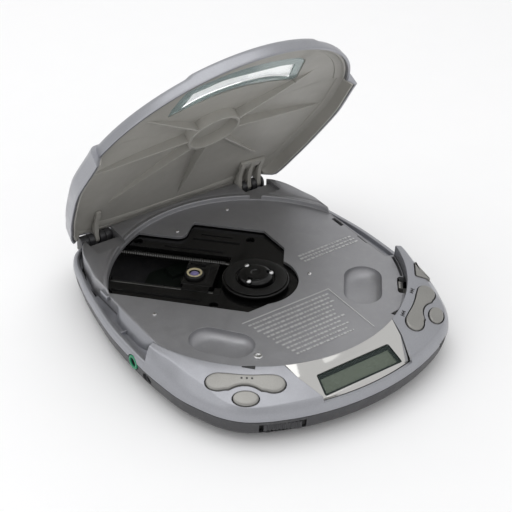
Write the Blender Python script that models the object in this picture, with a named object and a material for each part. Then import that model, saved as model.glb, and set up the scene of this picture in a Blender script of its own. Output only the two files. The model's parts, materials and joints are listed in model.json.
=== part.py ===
"""Portable disc player: every separate piece as its own object, lid open at its stop.

Coordinates in this file are millimetres and become metres when a mesh is made.
The origin is on the spindle axis, in the plane of the case's underside.
+X is the player's right, -Y its front (display side), +Z up.
"""
import bpy
import bmesh
from math import atan2, cos, degrees, hypot, pi, radians, sin, sqrt, tan

MM = 0.001
GAP = 0.3                     # running gap between neighbouring pieces

# ---- driving heights, from the underside up
FOOT_DROP = 0.8               # rubber feet stand this far below the underside
SEAM = 10.45                  # parting line of bottom case and upper shell
LEDGE = 14.0                  # silver side rim
TROUGH = 12.0                 # gutter between side rim and deck
DECK_UNDER = 16.0
DECK = 17.3                   # floor of the disc well
WELL_RIM = 19.8               # raised rim behind the disc
PANEL = 22.2                  # button panel at the edge of the disc well
PLATTER = 18.2                # what the disc lies on
LID_TOP = 26.8                # crown of the closed lid
LID_SAG = 3.6                 # how far the lid's crown falls to its edge

# ---- driving plan dimensions
WELL_R = 62.0                 # disc well
FRONT_R = 63.4                # inner edge of the button panel
DECK_SIDE = 57.5              # straight side wall of the deck
LID_FRONT_R = 62.8
STEP_ANGLE = -16.5            # where side rim ends and button panel begins
LID_STEP = -16.0              # the same step in the lid, a hair further back
HINGE_Y, HINGE_Z = 65.5, 16.2
LID_OPEN = 55.8               # degrees from closed to the open stop
EAR_X = (36.4, 41.8)          # hinge ears on the case
EAR_WIDTH = 2.6
ARM_X = (34.2, 39.4, 44.8)    # hinge knuckles under the lid
ARM_WIDTH = 2.0
DISPLAY_RIM_X = 21.5            # half width of the low rim in front of the display
DISPLAY_RIM = 14.8
WINDOW_X = 2.4                  # the lid window sits this far right of the centre line
RIB_ANGLES = (7, 48, 87, 129, 173, 214, 326)
SLED_ANGLE = 135.0            # the pick-up runs along this direction
LENS_S = 26.3                 # parked distance of the lens from the spindle

# right half of the case outline at the seam, back to front
OUTLINE = [(0, 70.5), (24, 70.2), (42, 68.2), (51, 64.5), (55.8, 58), (59.8, 44.5),
           (64, 24.5), (66.4, 4), (66.6, -12), (65.6, -28), (63.4, -42), (60.2, -51),
           (56.3, -59), (51, -65.3), (44.5, -69.7), (36, -73.5), (26, -76.8),
           (13, -79.3), (0, -80.1)]


# ------------------------------------------------------------------ basics
def clear_scene():
    for obj in list(bpy.data.objects):
        bpy.data.objects.remove(obj, do_unlink=True)


def make_material(name, colour, roughness, metallic=0.0, alpha=1.0):
    mat = bpy.data.materials.new(name)
    mat.use_nodes = True
    shader = mat.node_tree.nodes["Principled BSDF"]
    shader.inputs["Base Color"].default_value = (*colour, 1.0)
    shader.inputs["Roughness"].default_value = roughness
    shader.inputs["Metallic"].default_value = metallic
    shader.inputs["Alpha"].default_value = alpha
    return mat


def solid(name, geometry, mat=None, pivot=(0, 0, 0), parent=None):
    """An object from world coordinates in mm, with its origin at pivot."""
    verts, faces = geometry
    mesh = bpy.data.meshes.new(name)
    mesh.from_pydata([[(v[i] - pivot[i]) * MM for i in range(3)] for v in verts], [], faces)
    bm = bmesh.new()
    bm.from_mesh(mesh)
    bmesh.ops.recalc_face_normals(bm, faces=bm.faces)
    bm.to_mesh(mesh)
    bm.free()
    obj = bpy.data.objects.new(name, mesh)
    bpy.context.collection.objects.link(obj)
    base = (0, 0, 0)
    if parent is not None:
        obj.parent = parent
        base = (0, HINGE_Y, HINGE_Z)
    obj.location = [(pivot[i] - base[i]) * MM for i in range(3)]
    if mat is not None:
        mesh.materials.append(mat)
    mesh.shade_smooth()
    mesh.set_sharp_from_angle(angle=radians(35))
    return obj


def tool(target, geometry, operation, pivot=(0, 0, 0), parent=None):
    """Cut or fuse a shape into a target; the shape itself is a guide."""
    guide = solid("guide_" + target.name, geometry, None, pivot, parent)
    guide.hide_render = True
    guide.display_type = "WIRE"
    modifier = target.modifiers.new(operation.lower(), "BOOLEAN")
    modifier.operation = operation
    modifier.solver = "EXACT"
    modifier.object = guide


def cut(target, geometry, pivot=(0, 0, 0), parent=None):
    tool(target, geometry, "DIFFERENCE", pivot, parent)


def fuse(target, geometry, pivot=(0, 0, 0), parent=None):
    tool(target, geometry, "UNION", pivot, parent)


# ------------------------------------------------------------------ shapes
def loft(rings, loop=False):
    """Skin equal-length rings of points; ends are capped unless the rings loop."""
    count = len(rings[0])
    verts = [p for ring in rings for p in ring]
    faces = []
    spans = len(rings) if loop else len(rings) - 1
    for a in range(spans):
        b = (a + 1) % len(rings)
        for i in range(count):
            j = (i + 1) % count
            faces.append((a * count + i, a * count + j, b * count + j, b * count + i))
    if not loop:
        faces.append(tuple(range(count)))
        faces.append(tuple((len(rings) - 1) * count + i for i in range(count)))
    return verts, faces


def prism(outline, low, high):
    """Upright prism; low and high are numbers or functions of x and y."""
    def level(value, x, y):
        return value(x, y) if callable(value) else value
    return loft([[(x, y, level(low, x, y)) for x, y in outline],
                 [(x, y, level(high, x, y)) for x, y in outline]])


def box(x0, x1, y0, y1, z0, z1):
    return prism([(x0, y0), (x1, y0), (x1, y1), (x0, y1)], z0, z1)


def circle(radius, centre=(0, 0), count=32, start=0.0, stop=360.0):
    """Points of a circle, or of an arc that includes both of its ends."""
    whole = abs(stop - start) >= 360
    steps = count if whole else count - 1
    return [(centre[0] + radius * cos(radians(start + (stop - start) * i / steps)),
             centre[1] + radius * sin(radians(start + (stop - start) * i / steps)))
            for i in range(count)]


def turned(profile, centre=(0, 0), count=32):
    """Revolve (radius, height) points about an upright axis; ends may lie on it."""
    return loft([[(x, y, z) for x, y in circle(max(r, 0.001), centre, count)]
                 for r, z in profile])


def along(geometry, origin, direction, up=(0, 0, 1)):
    """Turn a shape's +Z to a direction and its origin to a point."""
    length = sqrt(sum(c * c for c in direction))
    z_axis = [c / length for c in direction]
    x_axis = [up[1] * z_axis[2] - up[2] * z_axis[1], up[2] * z_axis[0] - up[0] * z_axis[2],
              up[0] * z_axis[1] - up[1] * z_axis[0]]
    size = sqrt(sum(c * c for c in x_axis))
    x_axis = [c / size for c in x_axis]
    y_axis = [z_axis[1] * x_axis[2] - z_axis[2] * x_axis[1],
              z_axis[2] * x_axis[0] - z_axis[0] * x_axis[2],
              z_axis[0] * x_axis[1] - z_axis[1] * x_axis[0]]
    verts, faces = geometry
    return [tuple(origin[i] + v[0] * x_axis[i] + v[1] * y_axis[i] + v[2] * z_axis[i]
                  for i in range(3)) for v in verts], faces


def rod(start, end, radius, count=20):
    span = [end[i] - start[i] for i in range(3)]
    length = sqrt(sum(c * c for c in span))
    up = (0, 0, 1) if abs(span[2]) < 0.9 * length else (1, 0, 0)
    return along(prism(circle(radius, count=count), 0, length), start, span, up)


def side_prism(profile, x0, x1):
    """Prism along X from a (y, z) profile."""
    return loft([[(x0, y, z) for y, z in profile], [(x1, y, z) for y, z in profile]])


def rail(s, t, z=None):
    """A point in the pick-up's own directions: s outwards along its travel, t across."""
    c, d = cos(radians(SLED_ANGLE)), sin(radians(SLED_ANGLE))
    x, y = s * c + t * d, s * d - t * c
    return (x, y) if z is None else (x, y, z)


def rail_box(s0, s1, t0, t1, z0, z1):
    return prism([rail(s0, t0), rail(s1, t0), rail(s1, t1), rail(s0, t1)], z0, z1)


# ------------------------------------------------------------ plan outlines
def hermite(knots, value):
    """Smooth curve through (position, height) knots, level at both ends."""
    slopes = [0.0]
    for i in range(1, len(knots) - 1):
        slopes.append((knots[i + 1][1] - knots[i - 1][1]) / (knots[i + 1][0] - knots[i - 1][0]))
    slopes.append(0.0)
    for i in range(len(knots) - 1):
        (p0, h0), (p1, h1) = knots[i], knots[i + 1]
        if value <= p1 or i == len(knots) - 2:
            w = p1 - p0
            u = (value - p0) / w
            return (h0 * (1 + 2 * u) * (1 - u) ** 2 + h1 * u * u * (3 - 2 * u)
                    + w * slopes[i] * u * (1 - u) ** 2 - w * slopes[i + 1] * u * u * (1 - u))
    return knots[-1][1]


def smooth(f):
    f = max(0.0, min(1.0, f))
    return f * f * (3 - 2 * f)


OUTLINE_POLAR = sorted((degrees(atan2(y, x)), hypot(x, y)) for x, y in OUTLINE)


def folded(angle):
    """The mirror-image angle on the right half, from -90 to 90 degrees."""
    return degrees(atan2(sin(radians(angle)), abs(cos(radians(angle)))))


def rho(angle):
    """Distance from the spindle axis to the case outline."""
    return hermite(OUTLINE_POLAR, folded(angle))


def in_front(angle, step_angle=STEP_ANGLE):
    return folded(angle) < step_angle


def deck_radius(angle):
    """Outer edge of the disc deck."""
    if in_front(angle):
        return FRONT_R - GAP
    return min(DECK_SIDE / max(cos(radians(folded(angle))), 0.01), rho(angle) - 4.6)


def lid_radius(angle):
    if in_front(angle, LID_STEP):
        return LID_FRONT_R
    return rho(angle) - 1.2 - 2.4 * smooth((8 - folded(angle)) / 24)


def columns(step_angle=STEP_ANGLE):
    """Angles round the case: closer at its corners, doubled where the outline steps in."""
    right = [-90, -81, -72, -64, -57, -51, -46, -41, -35, -28, -22, step_angle - 0.15,
             step_angle + 0.15, -8, 0, 8, 16, 24, 31, 37, 42, 46.5, 50.5, 54.5, 58.5, 64, 72,
             81, 90]
    return sorted(right + [180 - a for a in right[1:-1]])


def polar(radius_of, height_of, angles):
    points = []
    for a in angles:
        r = radius_of(a) if callable(radius_of) else radius_of
        z = height_of(a) if callable(height_of) else height_of
        points.append((r * cos(radians(a)), r * sin(radians(a)), z))
    return points


def panel_height(x, y):
    """Top of the button panel, which falls away outwards from the disc well."""
    fall = hypot(x, y) - FRONT_R
    return PANEL - 0.27 * fall - 0.0035 * fall * fall


def ridge_inset(angle):
    """Width of the sloping flank outside the ridge of the button panel."""
    knots = [(-90, 1.9), (-62, 1.9), (-48, 2.2), (-40, 5.0), (-29, 5.3), (-16.3, 3.0)]
    return hermite(knots, max(-90, min(-16.3, folded(angle))))


# ------------------------------------------------------------- case pieces
def bottom_case(mats):
    angles = columns()
    outer = [(0.0, 14.0), (2.4, 3.4), (4.4, 1.2), (SEAM - 0.15, 0.0)]
    inner = [(SEAM - 0.15, 1.6), (5.0, 2.8), (3.6, 4.8), (1.5, 15.0)]
    rings = [polar(lambda a, d=d: rho(a) - d, z, angles) for z, d in outer + inner]
    case = solid("bottom_case", loft(rings), mats["dark"])
    # battery bay: thick floor with a sliding-door recess, and low walls round the cells
    fuse(case, box(-29.9, 29.9, -63.2, -23.6, 0.8, 2.9))
    fuse(case, box(-29.3, 29.3, -62.4, -29.6, 1.2, 10.8))
    cut(case, box(-27.3, 27.3, -61.0, -31.0, -1, 12))
    cut(case, box(-28.4, 28.4, -61.8, -24.7, -1, 1.5))
    for x, y in SCREWS:
        fuse(case, turned([(3.4, 1.0), (3.4, 10.0)], (x, y), 12))
        cut(case, turned([(1.4, 1.9), (1.4, 11.0)], (x, y), 10))
        cut(case, turned([(2.7, -1.0), (2.7, 2.0)], (x, y), 16))
    for s, t in DAMPERS:
        fuse(case, turned([(3.0, 1.0), (3.0, 10.0), (1.4, 10.0), (1.4, 15.9)], rail(s, t), 12))
    for x, y in FEET:
        cut(case, turned([(4.3, -1.0), (4.3, 0.45)], (x, y), 20))
    cut(case, rod((-70, JACK_Y, JACK_Z), (-60, JACK_Y, JACK_Z), 3.5))
    cut(case, rod((-70, DC_Y, DC_Z), (-60, DC_Y, DC_Z), 2.9))
    cut(case, along(box(-4.1, 4.1, -2.4, 2.4, -4, 4), HOLD, HOLD_OUT))
    cut(case, along(box(-9.2, 9.2, -2.0, 2.0, -1.8, 4), HOLD, HOLD_OUT, HOLD_UP))
    return case


def shell_section(angle):
    """Closed cross-section of the upper shell, as (radius, height) points."""
    r = rho(angle)
    base = SEAM + 0.15
    if not in_front(angle):
        edge = deck_radius(angle) + GAP
        return [(r, base), (r - 0.1, 12.2), (r - 0.5, 13.4), (r - 1.3, LEDGE),
                (r - 2.8, LEDGE), (r - 3.1, TROUGH), (edge, TROUGH), (edge, base),
                (edge * 0.8 + r * 0.2, base), (edge * 0.6 + r * 0.4, base),
                (edge * 0.4 + r * 0.6, base), (edge * 0.25 + r * 0.75, base),
                (edge * 0.1 + r * 0.9, base)]
    flank = min(ridge_inset(angle), (r - FRONT_R) * 0.8)
    ridge = r - flank
    high = panel_height(ridge, 0)
    mid = (ridge + FRONT_R) / 2
    wall = FRONT_R + min(1.5, (ridge - FRONT_R) * 0.55)
    inner = max(wall + 0.2, ridge - 0.7)
    return [(r, base), (r - 0.06 * flank, base + 0.32 * (high - base)),
            (r - 0.30 * flank, base + 0.66 * (high - base)),
            (r - 0.62 * flank, base + 0.89 * (high - base)), (ridge, high),
            (mid, panel_height(mid, 0)), (FRONT_R, PANEL), (FRONT_R, 14.6), (wall, 14.6),
            (wall, PANEL - 1.8), (inner, high - 1.7),
            (max(inner + 0.15, r - 1.6), base + 0.45 * (high - base)),
            (max(inner + 0.3, r - 1.55), base)]


def upper_shell(mats):
    angles = columns()
    rings = []
    for a in angles:
        c, s = cos(radians(a)), sin(radians(a))
        rings.append([(r * c, r * s, z) for r, z in shell_section(a)])
    shell = solid("upper_shell", loft(rings, loop=True), mats["silver"])
    cut(shell, display_wedge(GAP, 6.0, -2.2))
    cut(shell, box(-DISPLAY_RIM_X, DISPLAY_RIM_X, -90, -75.2, DISPLAY_RIM, 30))
    for name, outline in KEY_OUTLINES.items():
        cut(shell, prism(grow(outline, GAP), 12.0, 26.0))
    cut(shell, rod((-70, JACK_Y, JACK_Z), (-62.9, JACK_Y, JACK_Z), 3.5))
    cut(shell, rod((-64, JACK_Y, JACK_Z), (-56, JACK_Y, JACK_Z), 2.25))
    cut(shell, box(-61.1, -49, JACK_Y - 4.3, JACK_Y + 4.3, 9.0, 11.3))
    cut(shell, prism(latch_pocket(), 11.5, 18.4))
    for side in (-1, 1):
        corner = [(60.0, STEP_ANGLE + 0.6), (FRONT_R - 0.15, STEP_ANGLE + 0.6),
                  (FRONT_R - 0.15, STEP_ANGLE - 0.4), (60.0, STEP_ANGLE - 0.4)]
        cut(shell, prism([(side * r * cos(radians(a)), r * sin(radians(a))) for r, a in corner], 17.2, 30))
    for side in (-1, 1):
        for x in EAR_X:
            profile = circle(2.3, (HINGE_Y, HINGE_Z), 16, 0, 180)
            profile += [(HINGE_Y - 2.3, 11.3), (HINGE_Y + 2.3, 11.3)]
            x0, x1 = sorted((side * x, side * (x + EAR_WIDTH)))
            fuse(shell, side_prism(profile, x0, x1))
        cut(shell, rod((side * 33, HINGE_Y, HINGE_Z), (side * 48, HINGE_Y, HINGE_Z), 1.2, 16))
    return shell


def grow(outline, amount):
    """Move a convex or gently curved outline outwards by a small amount."""
    count = len(outline)
    area = sum(outline[i][0] * outline[(i + 1) % count][1] - outline[(i + 1) % count][0] * outline[i][1]
               for i in range(count))
    turn = 1 if area > 0 else -1
    result = []
    for i in range(count):
        (ax, ay), (bx, by), (cx, cy) = outline[i - 1], outline[i], outline[(i + 1) % count]
        n1 = (by - ay, ax - bx)
        n2 = (cy - by, bx - cx)
        l1, l2 = hypot(*n1), hypot(*n2)
        nx, ny = n1[0] / l1 + n2[0] / l2, n1[1] / l1 + n2[1] / l2
        size = (nx * nx + ny * ny) / 2
        result.append((bx + turn * amount * nx / size, by + turn * amount * ny / size))
    return result


def latch_pocket():
    """Rounded slot through the deck's edge in which the lid hook stands."""
    corners = [(59.7, -5.9), (66.4, -5.9), (66.4, 5.9), (59.7, 5.9)]
    c, s = cos(LATCH_A), sin(LATCH_A)
    return rounded([(r * c - t * s, r * s + t * c) for r, t in corners], 2.0, 3)


def opening_outline():
    """Edge of the mechanism opening in the deck, in plan."""
    points = [(-56.6, 25.1), (-15.6, -17.5), (-8.4, -17.5)]
    points += circle(18.2, count=14, start=-108, stop=14)
    points += [(23.8, 12.3), (24, 28.3), (2.9, 49.8), (1.4, 50.6), (-0.2, 49.8)]
    points += circle(4.5, (-8.2, 48.8), 7, -50, -130)
    points += [(-23.2, 57.4)]
    points += circle(WELL_R - 0.2, count=8, start=112, stop=155.6)
    return points


def scoop(side, drop, extra):
    """Finger recess: a long bowl set tangentially beside the spindle."""
    cx, cy = side * 35.5, -28.0
    angle = atan2(cy, cx) + pi / 2
    rings = []
    for k in range(5):
        f = k / 4
        width = (8.0 + extra) * sqrt(max(1 - (f * 0.93) ** 2, 0))
        reach = 5.5 * (1 - 0.45 * f)
        z = DECK - (drop + extra) * f
        ring = []
        for x, y in (circle(width, (reach, 0), 8, -90, 90) + circle(width, (-reach, 0), 8, 90, 270)):
            ring.append((cx + x * cos(angle) - y * sin(angle), cy + x * sin(angle) + y * cos(angle), z))
        rings.append(ring)
    top = [(x, y, DECK + 1.0) for x, y, z in rings[0]]
    return loft([top] + rings) if extra == 0 else loft(rings)


def disc_deck(mats):
    angles = columns()
    deck = solid("disc_deck", loft([polar(deck_radius, 11.2, angles),
                                    polar(deck_radius, WELL_RIM, angles)]), mats["deck"])
    cut(deck, box(-90, 90, -90, 25.2, DECK, 30))
    cut(deck, turned([(WELL_R, DECK), (WELL_R, 30)], count=60))
    cut(deck, loft([polar(lambda a: deck_radius(a) - 1.5, 10, angles),
                    polar(lambda a: deck_radius(a) - 1.5, DECK_UNDER, angles)]))
    for side in (-1, 1):
        fuse(deck, scoop(side, 4.2, 1.2))
        cut(deck, scoop(side, 4.2, 0))
        x0, x1 = sorted((side * 33.0, side * 48.0))
        cut(deck, box(x0, x1, 58.4, 80, 10, 30))
        cut(deck, box(x0, x1, 50.0, 59, 18.1, 30))
    for x, y in SCREWS:
        fuse(deck, turned([(3.2, 10.7), (3.2, 16.6)], (x, y), 12))
        cut(deck, turned([(1.3, 9.0), (1.3, 15.6)], (x, y), 10))
    cut(deck, box(-27.4, 27.4, -61.0, -45.0, 9, DECK_UNDER - 0.05))
    cut(deck, prism(opening_outline(), 9, 30))
    cut(deck, prism(latch_pocket(), 9, 30))
    cut(deck, prism(grow(SWITCH, GAP), 9, 30))
    cut(deck, box(55.0, 56.7, 12.6, 19.6, 9, 30))
    for x, y in DECK_BUMPS:
        fuse(deck, turned([(0.9, DECK - 0.5), (0.9, DECK + 0.1), (0.5, DECK + 0.5)], (x, y), 10))
    fuse(deck, turned([(1.7, DECK - 0.5), (1.7, DECK + 0.2), (1.1, DECK + 0.6)], (-28.5, -43.2), 16))
    return deck


def battery_door(mats):
    door = solid("battery_door", box(-28.1, 28.1, -61.5, -30.1, 0.0, 1.2), mats["dark"],
                 (0, -45.8, 0.6))
    for k in range(6):
        cut(door, box(-9, 9, -38.6 + k * 1.2, -38.0 + k * 1.2, -1, 0.4))
    return door


def small_case_pieces(mats):
    for name, (x, y) in zip(FOOT_NAMES, FEET):
        profile = [(3.4, -FOOT_DROP), (3.9, -FOOT_DROP + 0.4), (3.9, 0.15)]
        solid(name, turned(profile, (x, y), 24), mats["rubber"], (x, y, 0))
    for name, (x, y) in zip(SCREW_NAMES, SCREWS):
        profile = [(1.6, 0.3), (2.3, 0.7), (2.3, 1.7), (1.0, 1.7), (1.0, 14.6), (0.4, 15.1)]
        screw = solid(name, turned(profile, (x, y), 12), mats["steel"], (x, y, 1.0))
        for turn in (0, 90):
            blade = along(box(-0.25, 0.25, -1.5, 1.5, -1, 0.9), (x, y, 0.2), (0, 0, 1),
                          (cos(radians(turn + 45)), sin(radians(turn + 45)), 0))
            cut(screw, blade)
    for side, name in ((-1, "left"), (1, "right")):
        x0, x1 = sorted((side * 26.9, side * 26.3))
        contact = solid("battery_contact_" + name, box(x0, x1, -60.4, -31.6, 3.2, 10.9),
                        mats["steel"])
        for y in (-53.2, -38.6):
            fuse(contact, along(turned([(3.0, -0.3), (1.6, 0.7)], count=16),
                                (side * 26.4, y, 8.6), (-side, 0, 0)))
    solid("hinge_pin_left", rod((-33.3, HINGE_Y, HINGE_Z), (-47.2, HINGE_Y, HINGE_Z), 0.9, 16),
          mats["steel"])
    solid("hinge_pin_right", rod((33.3, HINGE_Y, HINGE_Z), (47.2, HINGE_Y, HINGE_Z), 0.9, 16),
          mats["steel"])


def jacks(mats):
    ring = solid("headphone_jack", rod((-66.5, JACK_Y, JACK_Z), (-63.2, JACK_Y, JACK_Z), 3.2, 28),
                 mats["green"])
    fuse(ring, rod((-63.8, JACK_Y, JACK_Z), (-60.0, JACK_Y, JACK_Z), 2.0, 20))
    fuse(ring, box(-60.8, -51.0, JACK_Y - 4, JACK_Y + 4, 4.7, 11.0))
    cut(ring, rod((-70, JACK_Y, JACK_Z), (-64.2, JACK_Y, JACK_Z), 1.9, 24))
    cut(ring, rod((-66, JACK_Y, JACK_Z), (-53.5, JACK_Y, JACK_Z), 1.4, 20))
    socket = solid("dc_jack", rod((-66.4, DC_Y, DC_Z), (-62.5, DC_Y, DC_Z), 2.6, 24), mats["black"])
    fuse(socket, rod((-63.0, DC_Y, DC_Z), (-56.0, DC_Y, DC_Z), 2.3, 20))
    fuse(socket, box(-57.2, -50.0, DC_Y - 3.4, DC_Y + 3.4, 4.7, 9.9))
    cut(socket, rod((-70, DC_Y, DC_Z), (-57, DC_Y, DC_Z), 1.9, 20))
    fuse(socket, rod((-64.5, DC_Y, DC_Z), (-56.5, DC_Y, DC_Z), 0.6, 12))


# ---------------------------------------------------------------- display
def display_point(u, v, side_gap):
    """Ruled surface from the edge of the disc well down to the front band."""
    x_top = 26.3 * u + side_gap * u
    y_top = -sqrt((FRONT_R + GAP) ** 2 - (26.3 * u) ** 2)
    x_low = 21.2 * u + side_gap * u
    y_low = -75.3 - side_gap
    return (x_top + (x_low - x_top) * v, y_top + (y_low - y_top) * v, PANEL - 7.6 * v)


def display_wedge(side_gap, above, below):
    """The display surface as a slab between two offsets."""
    across, down = 12, 4
    rows = [j / down for j in range(down + 1)]
    if side_gap > 0:
        rows = [-0.12] + rows
    top = []
    for v in rows:
        top.append([display_point(-1 + 2 * i / across, v, side_gap) for i in range(across + 1)])
    verts, faces = [], []
    wide = across + 1
    for offset in (above, below):
        for row in top:
            verts += [(x, y, z + offset) for x, y, z in row]
    layer = wide * len(rows)
    for j in range(len(rows) - 1):
        for i in range(across):
            a = j * wide + i
            faces.append((a, a + 1, a + wide + 1, a + wide))
            faces.append((layer + a, layer + a + wide, layer + a + wide + 1, layer + a + 1))
    edge = list(range(wide)) + [j * wide + across for j in range(1, len(rows))]
    edge += [(len(rows) - 1) * wide + i for i in range(across - 1, -1, -1)]
    edge += [j * wide for j in range(len(rows) - 2, 0, -1)]
    for i in range(len(edge)):
        a, b = edge[i], edge[(i + 1) % len(edge)]
        faces.append((a, layer + a, layer + b, b))
    return verts, faces


def glass_height(x, y):
    return 14.7 + 0.5375 * (y + 74.4)


GLASS = [(-18.9, -74.4), (18.9, -74.4), (17.6, -66.4), (-17.6, -66.4)]


def display(mats):
    bezel = solid("lcd_bezel", display_wedge(0.0, 0.0, -1.9), mats["chrome"])
    cut(bezel, prism(GLASS, 8, 30))
    inset = grow(GLASS, -GAP)
    solid("lcd_window", prism(inset, lambda x, y: glass_height(x, y) - 0.9,
                              glass_height), mats["clear"])
    solid("lcd_module", prism(inset, lambda x, y: glass_height(x, y) - 3.0,
                              lambda x, y: glass_height(x, y) - 1.2), mats["lcd"])


# ---------------------------------------------------------------- controls
def key_cap(name, outline, mat, pivot):
    """A key that follows the panel's slope and stands a little proud of it."""
    def ring(points, offset):
        return [(x, y, panel_height(x, y) + offset) for x, y in points]
    rings = [ring(outline, -3.4), ring(outline, 0.45), ring(grow(outline, -0.5), 0.8)]
    return solid(name, loft(rings), mat, pivot)


def placed(points, centre, angle, side):
    """Turn and move a plan outline on the right half; side -1 mirrors it to the left half."""
    c, s = cos(angle), sin(angle)
    result = [(side * (centre[0] + x * c - y * s), centre[1] + x * s + y * c) for x, y in points]
    return result if side > 0 else result[::-1]


def ellipse(a, b, centre=(0, 0), count=24, start=0.0, stop=360.0):
    return [(centre[0] + a * x, centre[1] + b * y) for x, y in circle(1.0, (0, 0), count, start, stop)]


def rocker_outline(side):
    """Two oval lobes joined by a waist, hollow on the side away from the disc."""
    a, b = ROCKER_LOBE
    points = ellipse(a, b, (ROCKER_REACH, 0), 14, -116, 104)
    points += [(4.5, b - 0.5), (0, b - 0.7), (-4.5, b - 0.5)]
    points += ellipse(a, b, (-ROCKER_REACH, 0), 14, 76, 296)
    points += [(-5.7, -2.8), (-3.5, -1.8), (-1.4, -1.2), (1.4, -1.2), (3.5, -1.8), (5.7, -2.8)]
    return placed(points, ROCKER, KEY_TURN, side)


def rounded(corners, radius, count=4):
    """Polygon with each corner replaced by a short arc."""
    points = []
    total = len(corners)
    for i in range(total):
        p, c, n = corners[i - 1], corners[i], corners[(i + 1) % total]
        to_p = atan2(p[1] - c[1], p[0] - c[0])
        to_n = atan2(n[1] - c[1], n[0] - c[0])
        half = ((to_n - to_p) % (2 * pi)) / 2
        half = half if half < pi / 2 else pi - half
        reach = radius / tan(half)
        a = (c[0] + reach * cos(to_p), c[1] + reach * sin(to_p))
        b = (c[0] + reach * cos(to_n), c[1] + reach * sin(to_n))
        for k in range(count + 1):
            f = k / count
            points.append(((1 - f) ** 2 * a[0] + 2 * f * (1 - f) * c[0] + f * f * b[0],
                           (1 - f) ** 2 * a[1] + 2 * f * (1 - f) * c[1] + f * f * b[1]))
    return points


JACK_Y, JACK_Z = -11.0, 9.5
DC_Y, DC_Z = -20.2, 6.4
LATCH_A = radians(-37.0)
HOLD = (-36.6, -71.6, 6.6)
HOLD_OUT = (-0.42, -0.91, 0.0)
HOLD_UP = (0.0, 0.0, 1.0)
SWITCH = [(33.1, -50.3), (36.5, -49.9), (33.9, -52.1)]
SCREWS = [(-39, -45.5), (39, -45.5), (-46, 52), (46, 52)]
SCREW_NAMES = ["screw_front_left", "screw_front_right", "screw_rear_left", "screw_rear_right"]
FEET = [(-47, -30), (47, -30), (-38, 47), (38, 47)]
FOOT_NAMES = ["foot_front_left", "foot_front_right", "foot_rear_left", "foot_rear_right"]
DAMPERS = [(14, -19), (8, 31), (56, 20)]
DECK_BUMPS = [(-8.5, 48.6), (-48.2, 2.1), (21.3, -9.5), (19.8, 51.6)]
KEY_TURN = atan2(0.6, 0.8)       # the keys lie along the edge of the disc well
ROCKER = (43.2, -56.0)
ROCKER_REACH = 10.3             # from the middle of a rocker to the middle of its lobe
ROCKER_LOBE = (4.9, 3.6)
SMALL_KEY = (46.9, -61.7)
KEY_OUTLINES = {
    "volume_rocker": rocker_outline(-1),
    "skip_rocker": rocker_outline(1),
    "mode_button": placed(ellipse(4.9, 2.9), SMALL_KEY, KEY_TURN, -1),
    "stop_button": placed(ellipse(4.9, 2.9), SMALL_KEY, KEY_TURN, 1),
    "open_button": rounded([(60.9, -31.0), (54.6, -39.2), (59.9, -42.9)], 0.8),
}


def controls(mats):
    pivot_z = panel_height(*ROCKER) - 1.5
    for name, side in (("volume_rocker", -1), ("skip_rocker", 1)):
        key_cap(name, KEY_OUTLINES[name], mats["key"], (side * ROCKER[0], ROCKER[1], pivot_z))
    for name, side in (("mode_button", -1), ("stop_button", 1)):
        key_cap(name, KEY_OUTLINES[name], mats["key"], (side * SMALL_KEY[0], SMALL_KEY[1], 17))
    key_cap("open_button", KEY_OUTLINES["open_button"], mats["key"], (58.4, -37.4, 19))
    slider = solid("hold_slider", along(box(-7.4, 7.4, -1.6, 1.6, -1.2, 0.6), HOLD, HOLD_OUT,
                                        HOLD_UP), mats["dark"], HOLD)
    for k in range(7):
        cut(slider, along(box(-5.7 + 1.7 * k, -5.0 + 1.7 * k, -2, 2, 0.2, 1), HOLD, HOLD_OUT,
                          HOLD_UP), HOLD)
    solid("lid_switch", prism(rounded(SWITCH, 0.35), 12.0, DECK + 0.2), mats["black"], (34.5, -50.8, 15))
    latch_hook(mats)
    for side, name in ((-1, "left"), (1, "right")):
        inner, outer = [], []
        for k in range(6):
            a = radians(-129 + k * 2.6) if side < 0 else radians(-51 - k * 2.6)
            r = rho(degrees(a)) - 5.2
            inner.append((68.0 * cos(a), 68.0 * sin(a)))
            outer.append((r * cos(a), r * sin(a)))
        board = solid("key_board_" + name, prism(inner + outer[::-1], 11.0, 12.0), mats["pcb"])
        fuse(board, turned([(2.2, 11.6), (2.2, 13.2), (1.2, 13.5)],
                           (side * 47, -60.6), 14))


def latch_hook(mats):
    """Hook that holds the lid; it slides outwards when the open key is pressed."""
    out = (cos(LATCH_A), sin(LATCH_A), 0)
    profile = [(60.2, 12.4), (69.0, 12.4), (69.0, 13.9), (62.1, 13.9), (62.1, 16.9),
               (60.9, 17.4), (60.2, 17.4)]
    width = 2.3
    rings = []
    for side in (-width, width):
        rings.append([(r * out[0] - side * out[1], r * out[1] + side * out[0], z)
                      for r, z in profile])
    solid("latch_hook", loft(rings), mats["key"], (62 * out[0], 62 * out[1], 14))


# --------------------------------------------------------------- mechanism
def chassis_outline():
    plan = [(62.8, -12.8), (65.6, -6), (65.6, 16), (60, 25.8), (44, 27), (37, 38.4), (2.4, 38.4),
            (-9.8, 26.4), (-10.2, 17.0)]
    points = [rail(s, t) for s, t in plan]
    points += [rail(19.8 * cos(radians(a)), 19.8 * sin(radians(a))) for a in range(128, 240, 10)]
    points += [rail(-1.8, -24.8), rail(53.0, -23.6)]
    return points


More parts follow.
